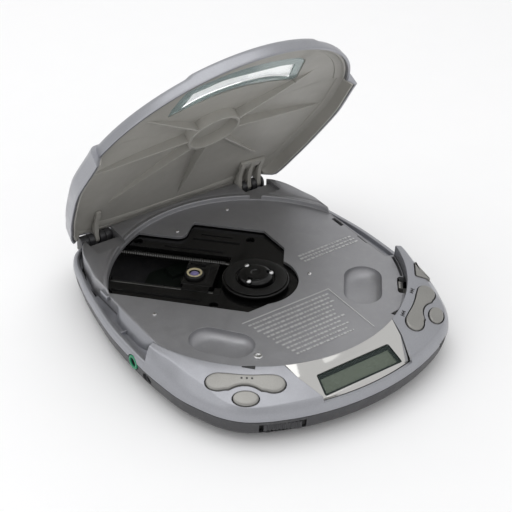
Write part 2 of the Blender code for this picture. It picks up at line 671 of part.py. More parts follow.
def mech_chassis(mats):
    chassis = solid("mech_chassis", prism(chassis_outline(), 13.4, 15.4), mats["black"])
    cut(chassis, rail_box(13.5, 62.6, -11.4, 16.4, 8, 20))
    cut(chassis, rail_box(62.2, 67.0, 10.8, 17.2, 8, 20))
    cut(chassis, turned([(2.2, 10), (2.2, 20)], count=20))
    for s, t in DAMPERS:
        cut(chassis, turned([(2.0, 10), (2.0, 20)], rail(s, t), 16))
    # end blocks that carry the guide rod
    for s0, s1 in ((13.0, 16.0), (60.4, 63.0)):
        fuse(chassis, rail_box(s0, s1, -11.9, -7.4, 11.9, 15.6))
    cut(chassis, rod(rail(12, GUIDE_T, 13.6), rail(64, GUIDE_T, 13.6), 1.4, 16))
    # end block that carries the inner end of the lead screw
    fuse(chassis, rail_box(13.0, 15.4, 11.6, 16.9, 10.9, 15.3))
    cut(chassis, rod(rail(12, SCREW_T, SCREW_Z), rail(17, SCREW_T, SCREW_Z), 1.15, 16))
    fuse(chassis, rail_box(18.0, 58.0, -16.2, -14.6, 12.6, 13.9))
    fuse(chassis, rail_box(12.0, 33.0, 27.0, 29.0, 12.6, 16.2))
    for s, t in DAMPERS:
        grommet = [(1.7, 10.3), (3.4, 10.3), (3.4, 13.1), (1.7, 13.1)]
        geometry = loft([[(x, y, z) for x, y in circle(r, rail(s, t), 16)] for r, z in grommet],
                        loop=True)
        solid("damper_%d" % (DAMPERS.index((s, t)) + 1), geometry, mats["rubber"])


GUIDE_T = -9.4
SCREW_T, SCREW_Z = 14.0, 13.0


def drive(mats):
    """Guide rod, lead screw with its motor, and the pick-up sled."""
    solid("guide_rod", rod(rail(13.3, GUIDE_T, 13.6), rail(62.7, GUIDE_T, 13.6), 1.1, 16),
          mats["steel"])
    pitch, crest, root, side_count = 4.0, 1.45, 1.1, 8
    length, start = 46.2, 15.8
    rings = [[(0.85 * cos(2 * pi * i / side_count), 0.85 * sin(2 * pi * i / side_count), z)
              for i in range(side_count)] for z in (-2.2, 0.0)]
    steps = int(length / 1.0)
    for k in range(steps + 1):
        z = k * length / steps
        ring = []
        for i in range(side_count):
            a = 2 * pi * i / side_count
            wave = 0.5 + 0.5 * cos(a - 2 * pi * z / pitch)
            r = root + (crest - root) * wave
            ring.append((r * cos(a), r * sin(a), z + (0.05 if k == 0 else 0)))
        rings.append(ring)
    rings.append([(0.7 * cos(2 * pi * i / side_count), 0.7 * sin(2 * pi * i / side_count),
                   length + 0.05) for i in range(side_count)])
    outwards = rail(1, 0, 0)
    solid("lead_screw", along(loft(rings), rail(start, SCREW_T, SCREW_Z), outwards), mats["steel"],
          rail(start, SCREW_T, SCREW_Z))
    motor = turned([(2.6, 0), (2.6, 8.4)], count=20)
    solid("sled_motor", along(motor, rail(63.4, SCREW_T, SCREW_Z), outwards), mats["steel"])
    s0, s1 = LENS_S - 9.0, LENS_S + 4.5
    sled = solid("pickup_sled", rail_box(s0, s1, -7.0, 9.6, 8.6, 15.6), mats["black"],
                 rail(LENS_S, 0, 13))
    fuse(sled, rail_box(s0 + 1.0, s1 - 1.0, -11.0, -6.5, 12.0, 15.4))
    fuse(sled, rail_box(LENS_S - 3.5, LENS_S + 1.5, 9.0, 15.8, 9.6, 11.1))
    cut(sled, rod(rail(s0 - 2, GUIDE_T, 13.6), rail(s1 + 2, GUIDE_T, 13.6), 1.35, 16))
    cut(sled, turned([(4.6, 11.4), (4.6, 18)], rail(LENS_S, 0), 28))
    holder = turned([(4.2, 12.2), (4.2, 16.5), (3.7, 16.9), (2.6, 16.9)], rail(LENS_S, 0), 28)
    cup = solid("lens_holder", holder, mats["gold"], rail(LENS_S, 0, 13))
    cut(cup, turned([(2.4, 14.6), (2.4, 19)], rail(LENS_S, 0), 24))
    solid("objective_lens", turned([(2.1, 14.9), (2.1, 16.2), (1.5, 16.7), (0.6, 16.95)],
                                   rail(LENS_S, 0), 24), mats["clear"], rail(LENS_S, 0, 13))


def spindle(mats):
    solid("spindle_motor", turned([(11.2, 5.0), (11.5, 5.4), (11.5, 12.6), (11.1, 13.1)],
                                  count=40), mats["steel"])
    solid("spindle_shaft", turned([(1.0, 13.4), (1.0, 16.4)], count=16), mats["steel"])
    solid("turntable", turned([(13.6, 16.7), (14.25, 17.0), (14.25, 17.9), (14.0, PLATTER - 0.1),
                               (7.9, PLATTER - 0.1)], count=40), mats["black"])
    ring = [(8.6, PLATTER + 0.15), (13.2, PLATTER + 0.15), (13.2, PLATTER + 0.4), (8.6, PLATTER + 0.4)]
    solid("disc_mat", loft([[(x, y, z) for x, y in circle(r, count=32)] for r, z in ring], loop=True),
          mats["rubber"])
    hub = solid("spindle_hub", turned([(7.2, PLATTER + 0.2), (7.3, 19.3), (6.6, 20.4), (5.0, 21.0),
                                       (2.2, 21.1), (1.6, 20.6)], count=32), mats["black"])
    for k in range(3):
        a = radians(90 + 120 * k)
        out = (cos(a), sin(a), 0)
        spot = (6.5 * out[0], 6.5 * out[1], 20.0)
        cut(hub, along(turned([(1.4, -2.0), (1.4, 3.0)], count=16), spot, out))
        ball = [(1.15 * sin(pi * j / 6), -1.15 * cos(pi * j / 6)) for j in range(7)]
        solid("clamp_ball_%d" % (k + 1), along(turned(ball, count=12), spot, out), mats["steel"])


def boards(mats):
    plan = [(-41, -20), (26, -24), (50, -16), (53, 10), (47, 33), (30, 38), (30, 44), (-26, 44),
            (-41, 30)]
    board = solid("main_board", prism(plan, 3.2, 4.4), mats["pcb"])
    for x0, x1, y0, y1, high in ((29, 43, 0, 14, 6.2), (28, 38, 19, 29, 6.0), (-38, -26, 2, 12, 6.0),
                                 (44, 50, -10, -2, 7.4), (-20, -10, 34, 41, 6.4)):
        fuse(board, box(x0, x1, y0, y1, 4.0, high))
    for s, t in DAMPERS:
        cut(board, turned([(3.4, 0), (3.4, 8)], rail(s, t), 16))


# --------------------------------------------------------------------- lid
def lid_height(x, y):
    """Outer surface of the closed lid, with the broad raised band round its window."""
    angle = degrees(atan2(y, x))
    q = hypot(x, y) / lid_radius(angle)
    band = smooth((30.5 - abs(x)) / 3.0) * smooth((-y - 24.0) / 5.0)
    return LID_TOP - LID_SAG * q * q + 0.8 * band


def lid_edge(angle):
    """Lower edge of the closed lid's wall: deep at the sides, shallow front and back."""
    a = folded(angle)
    if a < LID_STEP:
        return 17.7
    return 14.4 + 4.9 * smooth((a - 47.5) / 7)


def lid_rings(radii, angles):
    """Rings from (share of the lid radius, inset, height) rules."""
    rings = []
    for share, inset, rule in radii:
        ring = []
        for a in angles:
            r = max(lid_radius(a) * share - inset, 0.01)
            x, y = r * cos(radians(a)), r * sin(radians(a))
            ring.append((x, y, rule(a, x, y)))
        rings.append(ring)
    return rings


def window_outline(amount):
    """Curved lid window, wider towards the hinge than towards the front, a little right of centre."""
    points = []
    for k in range(9):
        x = -30.2 + 60.4 * k / 8
        points.append((x, -27.2 + 5.2 * (x / 30.2) ** 2))
    points += [(31.0, -23.8), (28.0, -39.4)]
    for k in range(9):
        x = 25.7 - 51.4 * k / 8
        points.append((x, -45.6 + 4.4 * (x / 25.7) ** 2))
    points += [(-28.0, -39.4), (-31.0, -23.8)]
    return grow([(x + WINDOW_X, y) for x, y in points], amount)


def lid(mats):
    pivot = bpy.data.objects.new("lid_pivot", None)
    bpy.context.collection.objects.link(pivot)
    pivot.location = (0, HINGE_Y * MM, HINGE_Z * MM)
    pivot.rotation_euler = (radians(-LID_OPEN), 0, 0)
    angles = columns(LID_STEP)

    def top(drop):
        return lambda a, x, y: lid_height(x, y) - drop

    def edge(lift):
        return lambda a, x, y: lid_edge(a) + lift

    outside = [(0.02, 0, top(0)), (0.36, 0, top(0)), (0.56, 0, top(0)),
               (0.76, 0, top(0)), (0.9, 0, top(0)), (0.95, 0, top(0.25)), (0.975, 0, top(0.8)),
               (1.0, 0.6, top(2.4)), (1.0, 0, edge(0))]
    inside = [(1.0, 1.3, edge(0)), (1.0, 1.9, top(2.9)), (0.93, 0.6, top(1.4)),
              (0.7, 0, top(1.2)), (0.4, 0, top(1.2)), (0.02, 0, top(1.2))]
    shell = solid("lid_shell", loft(lid_rings(outside + inside, angles)), mats["silver"],
                  (0, HINGE_Y, HINGE_Z), pivot)
    here = (0, HINGE_Y, HINGE_Z)
    cut(shell, prism(window_outline(0), 15, 35), here, pivot)

    def skirt(lift):
        return lambda a, x, y: (19.6 if in_front(a, LID_STEP)
                                else lid_edge(a) + lift - 0.3 * smooth((folded(a) - 47.5) / 7))

    over = [(0.02, 0, top(1.5)), (0.4, 0, top(1.5)), (0.7, 0, top(1.5)), (0.93, 1.0, top(1.85)),
            (1.0, 2.5, top(3.2)), (1.0, 1.8, skirt(0.5))]
    under = [(1.0, 2.7, skirt(0.5)), (1.0, 3.3, top(3.6)), (0.93, 1.7, top(2.7)),
             (0.7, 0, top(2.4)), (0.4, 0, top(2.4)), (0.02, 0, top(2.4))]
    liner = solid("lid_liner", loft(lid_rings(over + under, angles)), mats["liner"], here, pivot)
    ring = [(10.9, 19.9), (12.2, 19.9), (12.2, 24.9), (10.9, 24.9)]
    fuse(liner, loft([[(x, y, z) for x, y in circle(r, count=36, start=3.3, stop=363.3)]
                      for r, z in ring], loop=True), here, pivot)
    for a in RIB_ANGLES:
        c, s = cos(radians(a)), sin(radians(a))
        reach = 44.0 if a > 180 else 52.0
        far = lid_height(reach * c, reach * s)
        side = []
        for half in (-0.55, 0.55):
            side.append([(r * c - half * s, r * s + half * c, z) for r, z in
                         ((11.9, 20.1), (reach - 6, far - 2.9), (reach, far - 2.1),
                          (reach - 2, far - 1.95), (11.9, 24.9))])
        fuse(liner, loft(side), here, pivot)
    cut(liner, prism(window_outline(0), 15, 35), here, pivot)
    low = [(x, y, lid_height(x, y) - 2.1) for x, y in window_outline(-GAP)]
    high = [(x, y, lid_height(x, y) - 0.1) for x, y in window_outline(-GAP)]
    solid("lid_window", loft([low, high]), mats["clear"], here, pivot)
    for side, name in ((-1, "left"), (1, "right")):
        x0, x1 = sorted((side * 33.6, side * 47.4))
        cut(shell, box(x0, x1, 61.0, 75, 10, 19.9), here, pivot)
        cut(liner, box(x0, x1, 57.0, 75, 10, 20.95), here, pivot)
        hinge_arm(name, side, mats, pivot)


def hinge_arm(name, side, mats, pivot):
    """Knuckle plates on one foot under the lid, three right and one left, between the case's ears."""
    here = (0, HINGE_Y, HINGE_Z)
    arms = ARM_X if side > 0 else ARM_X[1:2]
    x0, x1 = sorted((side * arms[0], side * (arms[-1] + ARM_WIDTH)))
    foot = prism([(x0, 50.0), (x1, 50.0), (x1, 55.0), (x0, 55.0)],
                 lambda x, y: lid_height(x, y) - 3.8, lambda x, y: lid_height(x, y) - 2.8)
    arm = solid("lid_hinge_" + name, foot, mats["liner"], here, pivot)
    for x in arms:
        profile = circle(2.1, (HINGE_Y, HINGE_Z), 12, -150, 60)
        profile += [(HINGE_Y - 1.6, 19.4), (58.5, 20.4), (52.0, 21.0), (52.0, 20.3), (57.5, 19.0)]
        a, b = sorted((side * x, side * (x + ARM_WIDTH)))
        fuse(arm, side_prism(profile, a, b), here, pivot)
    cut(arm, rod((side * 30, HINGE_Y, HINGE_Z), (side * 50, HINGE_Y, HINGE_Z), 1.2, 16), here, pivot)


def main():
    clear_scene()
    mats = {
        "silver": make_material("silver_paint", (0.42, 0.43, 0.46), 0.35, 0.6),
        "deck": make_material("deck_grey", (0.20, 0.20, 0.21), 0.42, 0.5),
        "dark": make_material("dark_plastic", (0.06, 0.06, 0.065), 0.5),
        "liner": make_material("liner_grey", (0.20, 0.195, 0.18), 0.5),
        "black": make_material("black_plastic", (0.008, 0.008, 0.008), 0.25),
        "key": make_material("key_grey", (0.33, 0.33, 0.31), 0.45, 0.2),
        "chrome": make_material("chrome", (0.75, 0.76, 0.78), 0.08, 1.0),
        "clear": make_material("clear_plastic", (0.75, 0.88, 0.88), 0.05, 0.0, 0.35),
        "lcd": make_material("lcd_glass", (0.13, 0.16, 0.12), 0.2),
        "green": make_material("green_plastic", (0.01, 0.22, 0.10), 0.35),
        "steel": make_material("steel", (0.6, 0.6, 0.6), 0.25, 1.0),
        "gold": make_material("lens_holder", (0.65, 0.55, 0.30), 0.35, 0.3),
        "rubber": make_material("rubber", (0.02, 0.02, 0.02), 0.8),
        "pcb": make_material("circuit_board", (0.02, 0.12, 0.05), 0.4),
    }
    bottom_case(mats)
    upper_shell(mats)
    disc_deck(mats)
    battery_door(mats)
    small_case_pieces(mats)
    jacks(mats)
    display(mats)
    controls(mats)
    mech_chassis(mats)
    drive(mats)
    spindle(mats)
    boards(mats)
    lid(mats)


main()
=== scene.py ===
"""Looks for the portable disc player: finer shells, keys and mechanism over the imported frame.

Lengths below are millimetres and become metres when a mesh is made. The frame's own axes are kept:
+X the player's right, -Y its front, +Z up, origin on the spindle axis in the case's underside.
"""
import json
import random
from math import atan2, cos, degrees, hypot, pi, radians, sin, sqrt

import bmesh
import bpy
from mathutils import Matrix, Vector


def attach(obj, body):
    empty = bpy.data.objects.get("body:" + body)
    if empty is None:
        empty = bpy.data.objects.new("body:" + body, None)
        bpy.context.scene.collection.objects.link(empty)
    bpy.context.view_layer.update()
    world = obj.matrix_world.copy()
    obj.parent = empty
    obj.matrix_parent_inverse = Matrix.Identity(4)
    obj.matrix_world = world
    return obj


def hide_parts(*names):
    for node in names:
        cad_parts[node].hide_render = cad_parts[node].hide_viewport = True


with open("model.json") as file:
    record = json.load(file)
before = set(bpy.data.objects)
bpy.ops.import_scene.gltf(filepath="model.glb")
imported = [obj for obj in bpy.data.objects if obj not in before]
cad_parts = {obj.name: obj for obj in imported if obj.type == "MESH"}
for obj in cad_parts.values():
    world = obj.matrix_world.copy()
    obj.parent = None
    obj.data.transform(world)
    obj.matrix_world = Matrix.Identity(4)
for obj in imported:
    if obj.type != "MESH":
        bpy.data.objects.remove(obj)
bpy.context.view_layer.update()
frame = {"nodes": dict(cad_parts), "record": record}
random.seed(7)

MM = 0.001
SEAM, LEDGE, TROUGH = 10.45, 14.0, 12.0
DECK_UNDER, DECK, WELL_RIM, PANEL = 16.0, 17.3, 19.8, 22.2
PLATTER = 18.2
LID_TOP, LID_SAG = 26.8, 3.6
WELL_R, FRONT_R, DECK_SIDE, LID_FRONT_R = 62.0, 63.4, 57.5, 62.8
STEP_ANGLE, LID_STEP = -16.5, -16.0
HINGE_Y, HINGE_Z, LID_OPEN = 65.5, 16.2, 55.8
WINDOW_X = 2.4
SKIN = 0.04                       # keeps the finer outline within the coarser one it replaces
DISPLAY_RIM_X, DISPLAY_RIM = 21.5, 14.8
RIB_ANGLES = (7, 48, 87, 129, 173, 214, 326)
SLED_ANGLE, LENS_S = 135.0, 26.3
GUIDE_T, SCREW_T, SCREW_Z = -9.4, 14.0, 13.0
DC_Y, DC_Z = -20.2, 6.4
JACK_Y, JACK_Z = -11.0, 9.5
LATCH_A = radians(-37.0)
HOLD, HOLD_OUT, HOLD_UP = (-36.6, -71.6, 6.6), (-0.42, -0.91, 0.0), (0.0, 0.0, 1.0)
GUTTER_SLOT = [(-50.6, 56.8), (-54.6, 52.4), (-57.6, 43.5), (-59.8, 33.2), (-58.9, 32.0), (-57.9, 32.6),
               (-57.9, 41.0), (-55.0, 48.0), (-51.4, 55.2)]
SWITCH = [(33.1, -50.3), (36.5, -49.9), (33.9, -52.1)]
OUTLINE = [(0, 70.5), (24, 70.2), (42, 68.2), (51, 64.5), (55.8, 58), (59.8, 44.5),
           (64, 24.5), (66.4, 4), (66.6, -12), (65.6, -28), (63.4, -42), (60.2, -51),
           (56.3, -59), (51, -65.3), (44.5, -69.7), (36, -73.5), (26, -76.8),
           (13, -79.3), (0, -80.1)]
CLOSED_TO_OPEN = (Matrix.Translation((0, HINGE_Y * MM, HINGE_Z * MM))
                  @ Matrix.Rotation(radians(-LID_OPEN), 4, "X")
                  @ Matrix.Translation((0, -HINGE_Y * MM, -HINGE_Z * MM)))


# ------------------------------------------------------------------ building
def raw_mesh(name, geometry):
    verts, faces = geometry
    mesh = bpy.data.meshes.new(name)
    mesh.from_pydata([[c * MM for c in v] for v in verts], [], faces)
    bm = bmesh.new()
    bm.from_mesh(mesh)
    bmesh.ops.recalc_face_normals(bm, faces=bm.faces)
    bm.to_mesh(mesh)
    bm.free()
    return mesh


def link(name, mesh):
    obj = bpy.data.objects.new(name, mesh)
    bpy.context.collection.objects.link(obj)
    return obj


def piece(name, geometry, material, body, replaces=(), steps=(), bevel=0.0,
          turned_open=False, angle=32):
    """One visible piece: Boolean steps are applied, then it rides on its body."""
    obj = link(name, raw_mesh(name, geometry))
    guides = []
    for operation, shape in steps:
        guide = link(name + "_guide", raw_mesh(name + "_guide", shape))
        guides.append(guide)
        modifier = obj.modifiers.new(operation, "BOOLEAN")
        modifier.operation = operation
        modifier.solver = "EXACT"
        modifier.object = guide
    if bevel:
        modifier = obj.modifiers.new("edge", "BEVEL")
        modifier.width = bevel * MM
        modifier.segments = 3
        modifier.limit_method = "ANGLE"
        modifier.angle_limit = radians(40)
    bpy.context.view_layer.update()
    depsgraph = bpy.context.evaluated_depsgraph_get()
    mesh = bpy.data.meshes.new_from_object(obj.evaluated_get(depsgraph))
    bpy.data.objects.remove(obj)
    for guide in guides:
        bpy.data.objects.remove(guide)
    if turned_open:
        mesh.transform(CLOSED_TO_OPEN)
    mesh.materials.clear()
    mesh.materials.append(material)
    mesh.shade_smooth()
    mesh.set_sharp_from_angle(angle=radians(angle))
    obj = link(name, mesh)
    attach(obj, body)
    if replaces:
        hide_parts(*replaces)
    return obj


def joined(*shapes):
    """Several shapes as one."""
    verts, faces = [], []
    for v, f in shapes:
        base = len(verts)
        verts += v
        faces += [tuple(i + base for i in face) for face in f]
    return verts, faces


# -------------------------------------------------------------------- shapes
def loft(rings, loop=False):
    count = len(rings[0])
    verts = [p for ring in rings for p in ring]
    faces = []
    spans = len(rings) if loop else len(rings) - 1
    for a in range(spans):
        b = (a + 1) % len(rings)
        for i in range(count):
            j = (i + 1) % count
            faces.append((a * count + i, a * count + j, b * count + j, b * count + i))
    if not loop:
        faces.append(tuple(range(count)))
        faces.append(tuple((len(rings) - 1) * count + i for i in range(count)))
    return verts, faces


def prism(outline, low, high):
    def level(value, x, y):
        return value(x, y) if callable(value) else value
    return loft([[(x, y, level(low, x, y)) for x, y in outline],
                 [(x, y, level(high, x, y)) for x, y in outline]])


def box(x0, x1, y0, y1, z0, z1):
    return prism([(x0, y0), (x1, y0), (x1, y1), (x0, y1)], z0, z1)


def circle(radius, centre=(0, 0), count=48, start=0.0, stop=360.0):
    whole = abs(stop - start) >= 360
    steps = count if whole else count - 1
    return [(centre[0] + radius * cos(radians(start + (stop - start) * i / steps)),
             centre[1] + radius * sin(radians(start + (stop - start) * i / steps)))
            for i in range(count)]


def turned(profile, centre=(0, 0), count=48):
    return loft([[(x, y, z) for x, y in circle(max(r, 0.001), centre, count)]
                 for r, z in profile])


def torus(profile, centre=(0, 0), count=64, start=0.0):
    """Closed ring swept from a closed (radius, height) profile."""
    return loft([[(x, y, z) for x, y in circle(r, centre, count, start, start + 360)]
                 for r, z in profile], loop=True)


def softened(profile, count=4, closed=False):
    """Round a profile's corners; each point is (u, v, radius)."""
    points = []
    total = len(profile)
    for i, (u, v, radius) in enumerate(profile):
        ends = not closed and i in (0, total - 1)
        before, after = profile[i - 1], profile[(i + 1) % total]
        lb = hypot(before[0] - u, before[1] - v)
        la = hypot(after[0] - u, after[1] - v)
        reach = 0 if ends else min(radius, lb * 0.48, la * 0.48)
        if reach < 1e-6 or lb < 1e-6 or la < 1e-6:
            a = b = (u, v)
        else:
            a = (u + (before[0] - u) * reach / lb, v + (before[1] - v) * reach / lb)
            b = (u + (after[0] - u) * reach / la, v + (after[1] - v) * reach / la)
        for k in range(count):
            f = k / (count - 1)
            points.append(((1 - f) ** 2 * a[0] + 2 * f * (1 - f) * u + f * f * b[0],
                           (1 - f) ** 2 * a[1] + 2 * f * (1 - f) * v + f * f * b[1]))
    return points


def along(geometry, origin, direction, up=(0, 0, 1)):
    z_axis = Vector(direction).normalized()
    x_axis = Vector(up).cross(z_axis).normalized()
    y_axis = z_axis.cross(x_axis)
    verts, faces = geometry
    base = Vector(origin)
    return [tuple(base + x_axis * v[0] + y_axis * v[1] + z_axis * v[2]) for v in verts], faces


def rod(start, end, radius, count=32):
    span = [end[i] - start[i] for i in range(3)]
    length = sqrt(sum(c * c for c in span))
    up = (0, 0, 1) if abs(span[2]) < 0.9 * length else (1, 0, 0)
    return along(prism(circle(radius, count=count), 0, length), start, span, up)


def side_prism(profile, x0, x1):
    return loft([[(x0, y, z) for y, z in profile], [(x1, y, z) for y, z in profile]])


def rail(s, t, z=None):
    c, d = cos(radians(SLED_ANGLE)), sin(radians(SLED_ANGLE))
    x, y = s * c + t * d, s * d - t * c
    return (x, y) if z is None else (x, y, z)


def rail_box(s0, s1, t0, t1, z0, z1):
    return prism([rail(s0, t0), rail(s1, t0), rail(s1, t1), rail(s0, t1)], z0, z1)


def grow(outline, amount):
    count = len(outline)
    area = sum(outline[i][0] * outline[(i + 1) % count][1]
               - outline[(i + 1) % count][0] * outline[i][1] for i in range(count))
    turn = 1 if area > 0 else -1
    result = []
    for i in range(count):
        (ax, ay), (bx, by), (cx, cy) = outline[i - 1], outline[i], outline[(i + 1) % count]
        n1, n2 = (by - ay, ax - bx), (cy - by, bx - cx)
        l1, l2 = hypot(*n1), hypot(*n2)
        nx, ny = n1[0] / l1 + n2[0] / l2, n1[1] / l1 + n2[1] / l2
        size = (nx * nx + ny * ny) / 2
        result.append((bx + turn * amount * nx / size, by + turn * amount * ny / size))
    return result


def rounded(corners, radius, count=6):
    points = []
    for x, y in softened([(x, y, radius) for x, y in corners], count, closed=True):
        points.append((x, y))
    return points


def smooth(f):
    f = max(0.0, min(1.0, f))
    return f * f * (3 - 2 * f)


# ------------------------------------------------------------- plan outlines
def hermite(knots, value):
    slopes = [0.0]
    for i in range(1, len(knots) - 1):
        slopes.append((knots[i + 1][1] - knots[i - 1][1]) / (knots[i + 1][0] - knots[i - 1][0]))
    slopes.append(0.0)
    for i in range(len(knots) - 1):
        (p0, h0), (p1, h1) = knots[i], knots[i + 1]
        if value <= p1 or i == len(knots) - 2:
            w = p1 - p0
            u = (value - p0) / w
            return (h0 * (1 + 2 * u) * (1 - u) ** 2 + h1 * u * u * (3 - 2 * u)
                    + w * slopes[i] * u * (1 - u) ** 2 - w * slopes[i + 1] * u * u * (1 - u))
    return knots[-1][1]


OUTLINE_POLAR = sorted((degrees(atan2(y, x)), hypot(x, y)) for x, y in OUTLINE)


def folded(angle):
    return degrees(atan2(sin(radians(angle)), abs(cos(radians(angle)))))


def rho(angle):
    return hermite(OUTLINE_POLAR, folded(angle)) - SKIN


def in_front(angle, step_angle=STEP_ANGLE):
    return folded(angle) < step_angle


def deck_radius(angle):
    if in_front(angle):
        return FRONT_R - 0.3
    return min(DECK_SIDE / max(cos(radians(folded(angle))), 0.01), rho(angle) - 4.6)


def lid_radius(angle):
    if in_front(angle, LID_STEP):
        return LID_FRONT_R
    return rho(angle) - 1.2 - 2.4 * smooth((8 - folded(angle)) / 24)


def columns(step_angle=STEP_ANGLE, step=1.5):
    angles = [i * step for i in range(int(360 / step))]
    for edge in (step_angle % 360, (180 - step_angle) % 360):
        angles = [a for a in angles if abs(a - edge) > 0.5]
        angles += [edge - 0.15, edge + 0.15]
    return sorted(angles)


def ring(angles, radius_of, height_of):
    points = []
    for a in angles:
        r = max(radius_of(a), 0.01)
        x, y = r * cos(radians(a)), r * sin(radians(a))
        points.append((x, y, height_of(a, x, y)))
    return points


def panel_height(x, y):
    fall = hypot(x, y) - FRONT_R
    return PANEL - 0.27 * fall - 0.0035 * fall * fall


def ridge_inset(angle):
    knots = [(-90, 1.9), (-62, 1.9), (-48, 2.2), (-40, 5.0), (-29, 5.3), (-16.3, 3.0)]
    return hermite(knots, max(-90, min(-16.3, folded(angle))))


# ----------------------------------------------------------------- materials
def surface(name, colour, roughness, metallic=0.0, tone=0.06, speckle=0.0, grain=0.02,
            grain_scale=9000, rough_spread=0.06, coat=0.0, edge=0.25, dust=0.0,
            transmission=0.0, alpha=1.0, ior=1.5, dust_colour=(0.6, 0.58, 0.54)):
    """A moulded or plated surface: uneven tone, flake, fine grain, handling marks, soft edges."""
    mat = bpy.data.materials.new(name)
    mat.use_nodes = True
    nodes, links = mat.node_tree.nodes, mat.node_tree.links
    shader = nodes["Principled BSDF"]
    where = nodes.new("ShaderNodeTexCoord")

    def noise(scale, detail=3.0):
        node = nodes.new("ShaderNodeTexNoise")
        node.inputs["Scale"].default_value = scale
        node.inputs["Detail"].default_value = detail
        links.new(where.outputs["Object"], node.inputs["Vector"])
        return node.outputs["Fac"]

    def remap(value, low, high, lo=0.3, hi=0.7):
        node = nodes.new("ShaderNodeMapRange")
        node.inputs["From Min"].default_value = lo
        node.inputs["From Max"].default_value = hi
        node.inputs["To Min"].default_value = low
        node.inputs["To Max"].default_value = high
        links.new(value, node.inputs["Value"])
        return node.outputs["Result"]

    def scaled(colour_input, factor):
        node = nodes.new("ShaderNodeVectorMath")
        node.operation = "SCALE"
        if isinstance(colour_input, tuple):
            node.inputs[0].default_value = colour_input
        else:
            links.new(colour_input, node.inputs[0])
        links.new(factor, node.inputs["Scale"])
        return node.outputs["Vector"]

    tint = scaled(colour, remap(noise(55), 1 - tone, 1 + tone))
    if speckle:
        tint = scaled(tint, remap(noise(5200, 1.0), 1 - speckle, 1 + speckle))
    if dust:
        mix = nodes.new("ShaderNodeMix")
        mix.data_type = "RGBA"
        links.new(remap(noise(420, 6.0), 0, dust, 0.52, 0.78), mix.inputs["Factor"])
        links.new(tint, mix.inputs[6])
        mix.inputs[7].default_value = (*dust_colour, 1)
        tint = mix.outputs[2]
    links.new(tint, shader.inputs["Base Color"])
    links.new(remap(noise(180, 5.0), max(roughness - rough_spread, 0.02),
                    roughness + rough_spread), shader.inputs["Roughness"])
    shader.inputs["Metallic"].default_value = metallic
    shader.inputs["IOR"].default_value = ior
    shader.inputs["Coat Weight"].default_value = coat
    shader.inputs["Coat Roughness"].default_value = 0.12
    shader.inputs["Transmission Weight"].default_value = transmission
    shader.inputs["Alpha"].default_value = alpha
    bump = nodes.new("ShaderNodeBump")
    bump.inputs["Strength"].default_value = 1.0
    bump.inputs["Distance"].default_value = grain * MM
    links.new(noise(grain_scale, 2.0), bump.inputs["Height"])
    if edge:
        soft = nodes.new("ShaderNodeBevel")
        soft.samples = 4
        soft.inputs["Radius"].default_value = edge * MM
        links.new(soft.outputs["Normal"], bump.inputs["Normal"])
    links.new(bump.outputs["Normal"], shader.inputs["Normal"])
    return mat


SILVER = surface("silver_paint_look", (0.335, 0.34, 0.365), 0.34, 0.75, 0.03, 0.10, 0.012)
DECK_MAT = surface("deck_look", (0.325, 0.325, 0.34), 0.42, 0.65, 0.04, 0.08, 0.03, dust=0.08)
DARK = surface("dark_plastic_look", (0.052, 0.052, 0.056), 0.42, 0.25, 0.06, 0.12, 0.03, dust=0.05)
LINER = surface("liner_look", (0.355, 0.345, 0.318), 0.42, 0.0, 0.06, 0.0, 0.02, 5200, dust=0.06)
BLACK = surface("black_gloss_look", (0.003, 0.003, 0.003), 0.20, 0.0, 0.2, 0.0, 0.006, dust=0.006, ior=1.4)
# Black satin plastic for the lens cup and platter mat; it also serves as painted shade in slots and
# recesses.
BLACK_SATIN_AND_SHADE = surface("black_satin_and_shade_look", (0.005, 0.005, 0.005), 0.45, 0.0, 0.2, 0.0, 0.02, dust=0.006,
                      ior=1.4)
KEY = surface("key_look", (0.29, 0.285, 0.27), 0.34, 0.65, 0.05, 0.10, 0.02)
CHROME = surface("chrome_look", (0.59, 0.585, 0.57), 0.08, 1.0, 0.01, 0.0, 0.001, rough_spread=0.02)
LCD = surface("display_look", (0.15, 0.175, 0.13), 0.30, 0.0, 0.03, 0.0, 0.001, edge=0)
GREEN = surface("green_look", (0.005, 0.22, 0.10), 0.30, 0.0, 0.08, 0.0, 0.01)
STEEL = surface("steel_look", (0.62, 0.62, 0.62), 0.20, 1.0, 0.05, 0.0, 0.006)
CREAM = surface("lens_holder_look", (0.60, 0.53, 0.34), 0.35, 0.25, 0.10, 0.0, 0.01)
# Lighter than the deck: painted highlight for the raised dashes and label lines.
RELIEF_HIGHLIGHT = surface("relief_highlight_look", (0.56, 0.56, 0.565), 0.40, 0.55, 0.04, 0.05, 0.01)
DARK_STEEL = surface("dark_steel_look", (0.09, 0.09, 0.088), 0.30, 1.0, 0.05, 0.0, 0.006)
RUBBER = surface("rubber_look", (0.02, 0.02, 0.02), 0.75, 0.0, 0.1, 0.0, 0.04)
BOARD = surface("board_look", (0.006, 0.009, 0.007), 0.45, 0.0, 0.15, 0.0, 0.02)
GLASS = surface("window_look", (0.96, 0.985, 0.98), 0.04, 0.0, 0.01, 0.0, 0.001, edge=0,
                rough_spread=0.01, transmission=1.0, ior=1.46)
TEAL = surface("window_frame_look", (0.74, 0.86, 0.84), 0.12, 0.0, 0.03, 0.0, 0.002, edge=0.2,
               rough_spread=0.03, transmission=0.75, ior=1.46)
FILM = surface("display_cover_look", (0.10, 0.13, 0.12), 0.03, 0.0, 0.01, 0.0, 0.001, edge=0,
               rough_spread=0.01, alpha=0.15, ior=1.25)
LENS = surface("lens_look", (0.25, 0.22, 0.45), 0.03, 0.0, 0.02, 0.0, 0.001, edge=0, alpha=0.75)
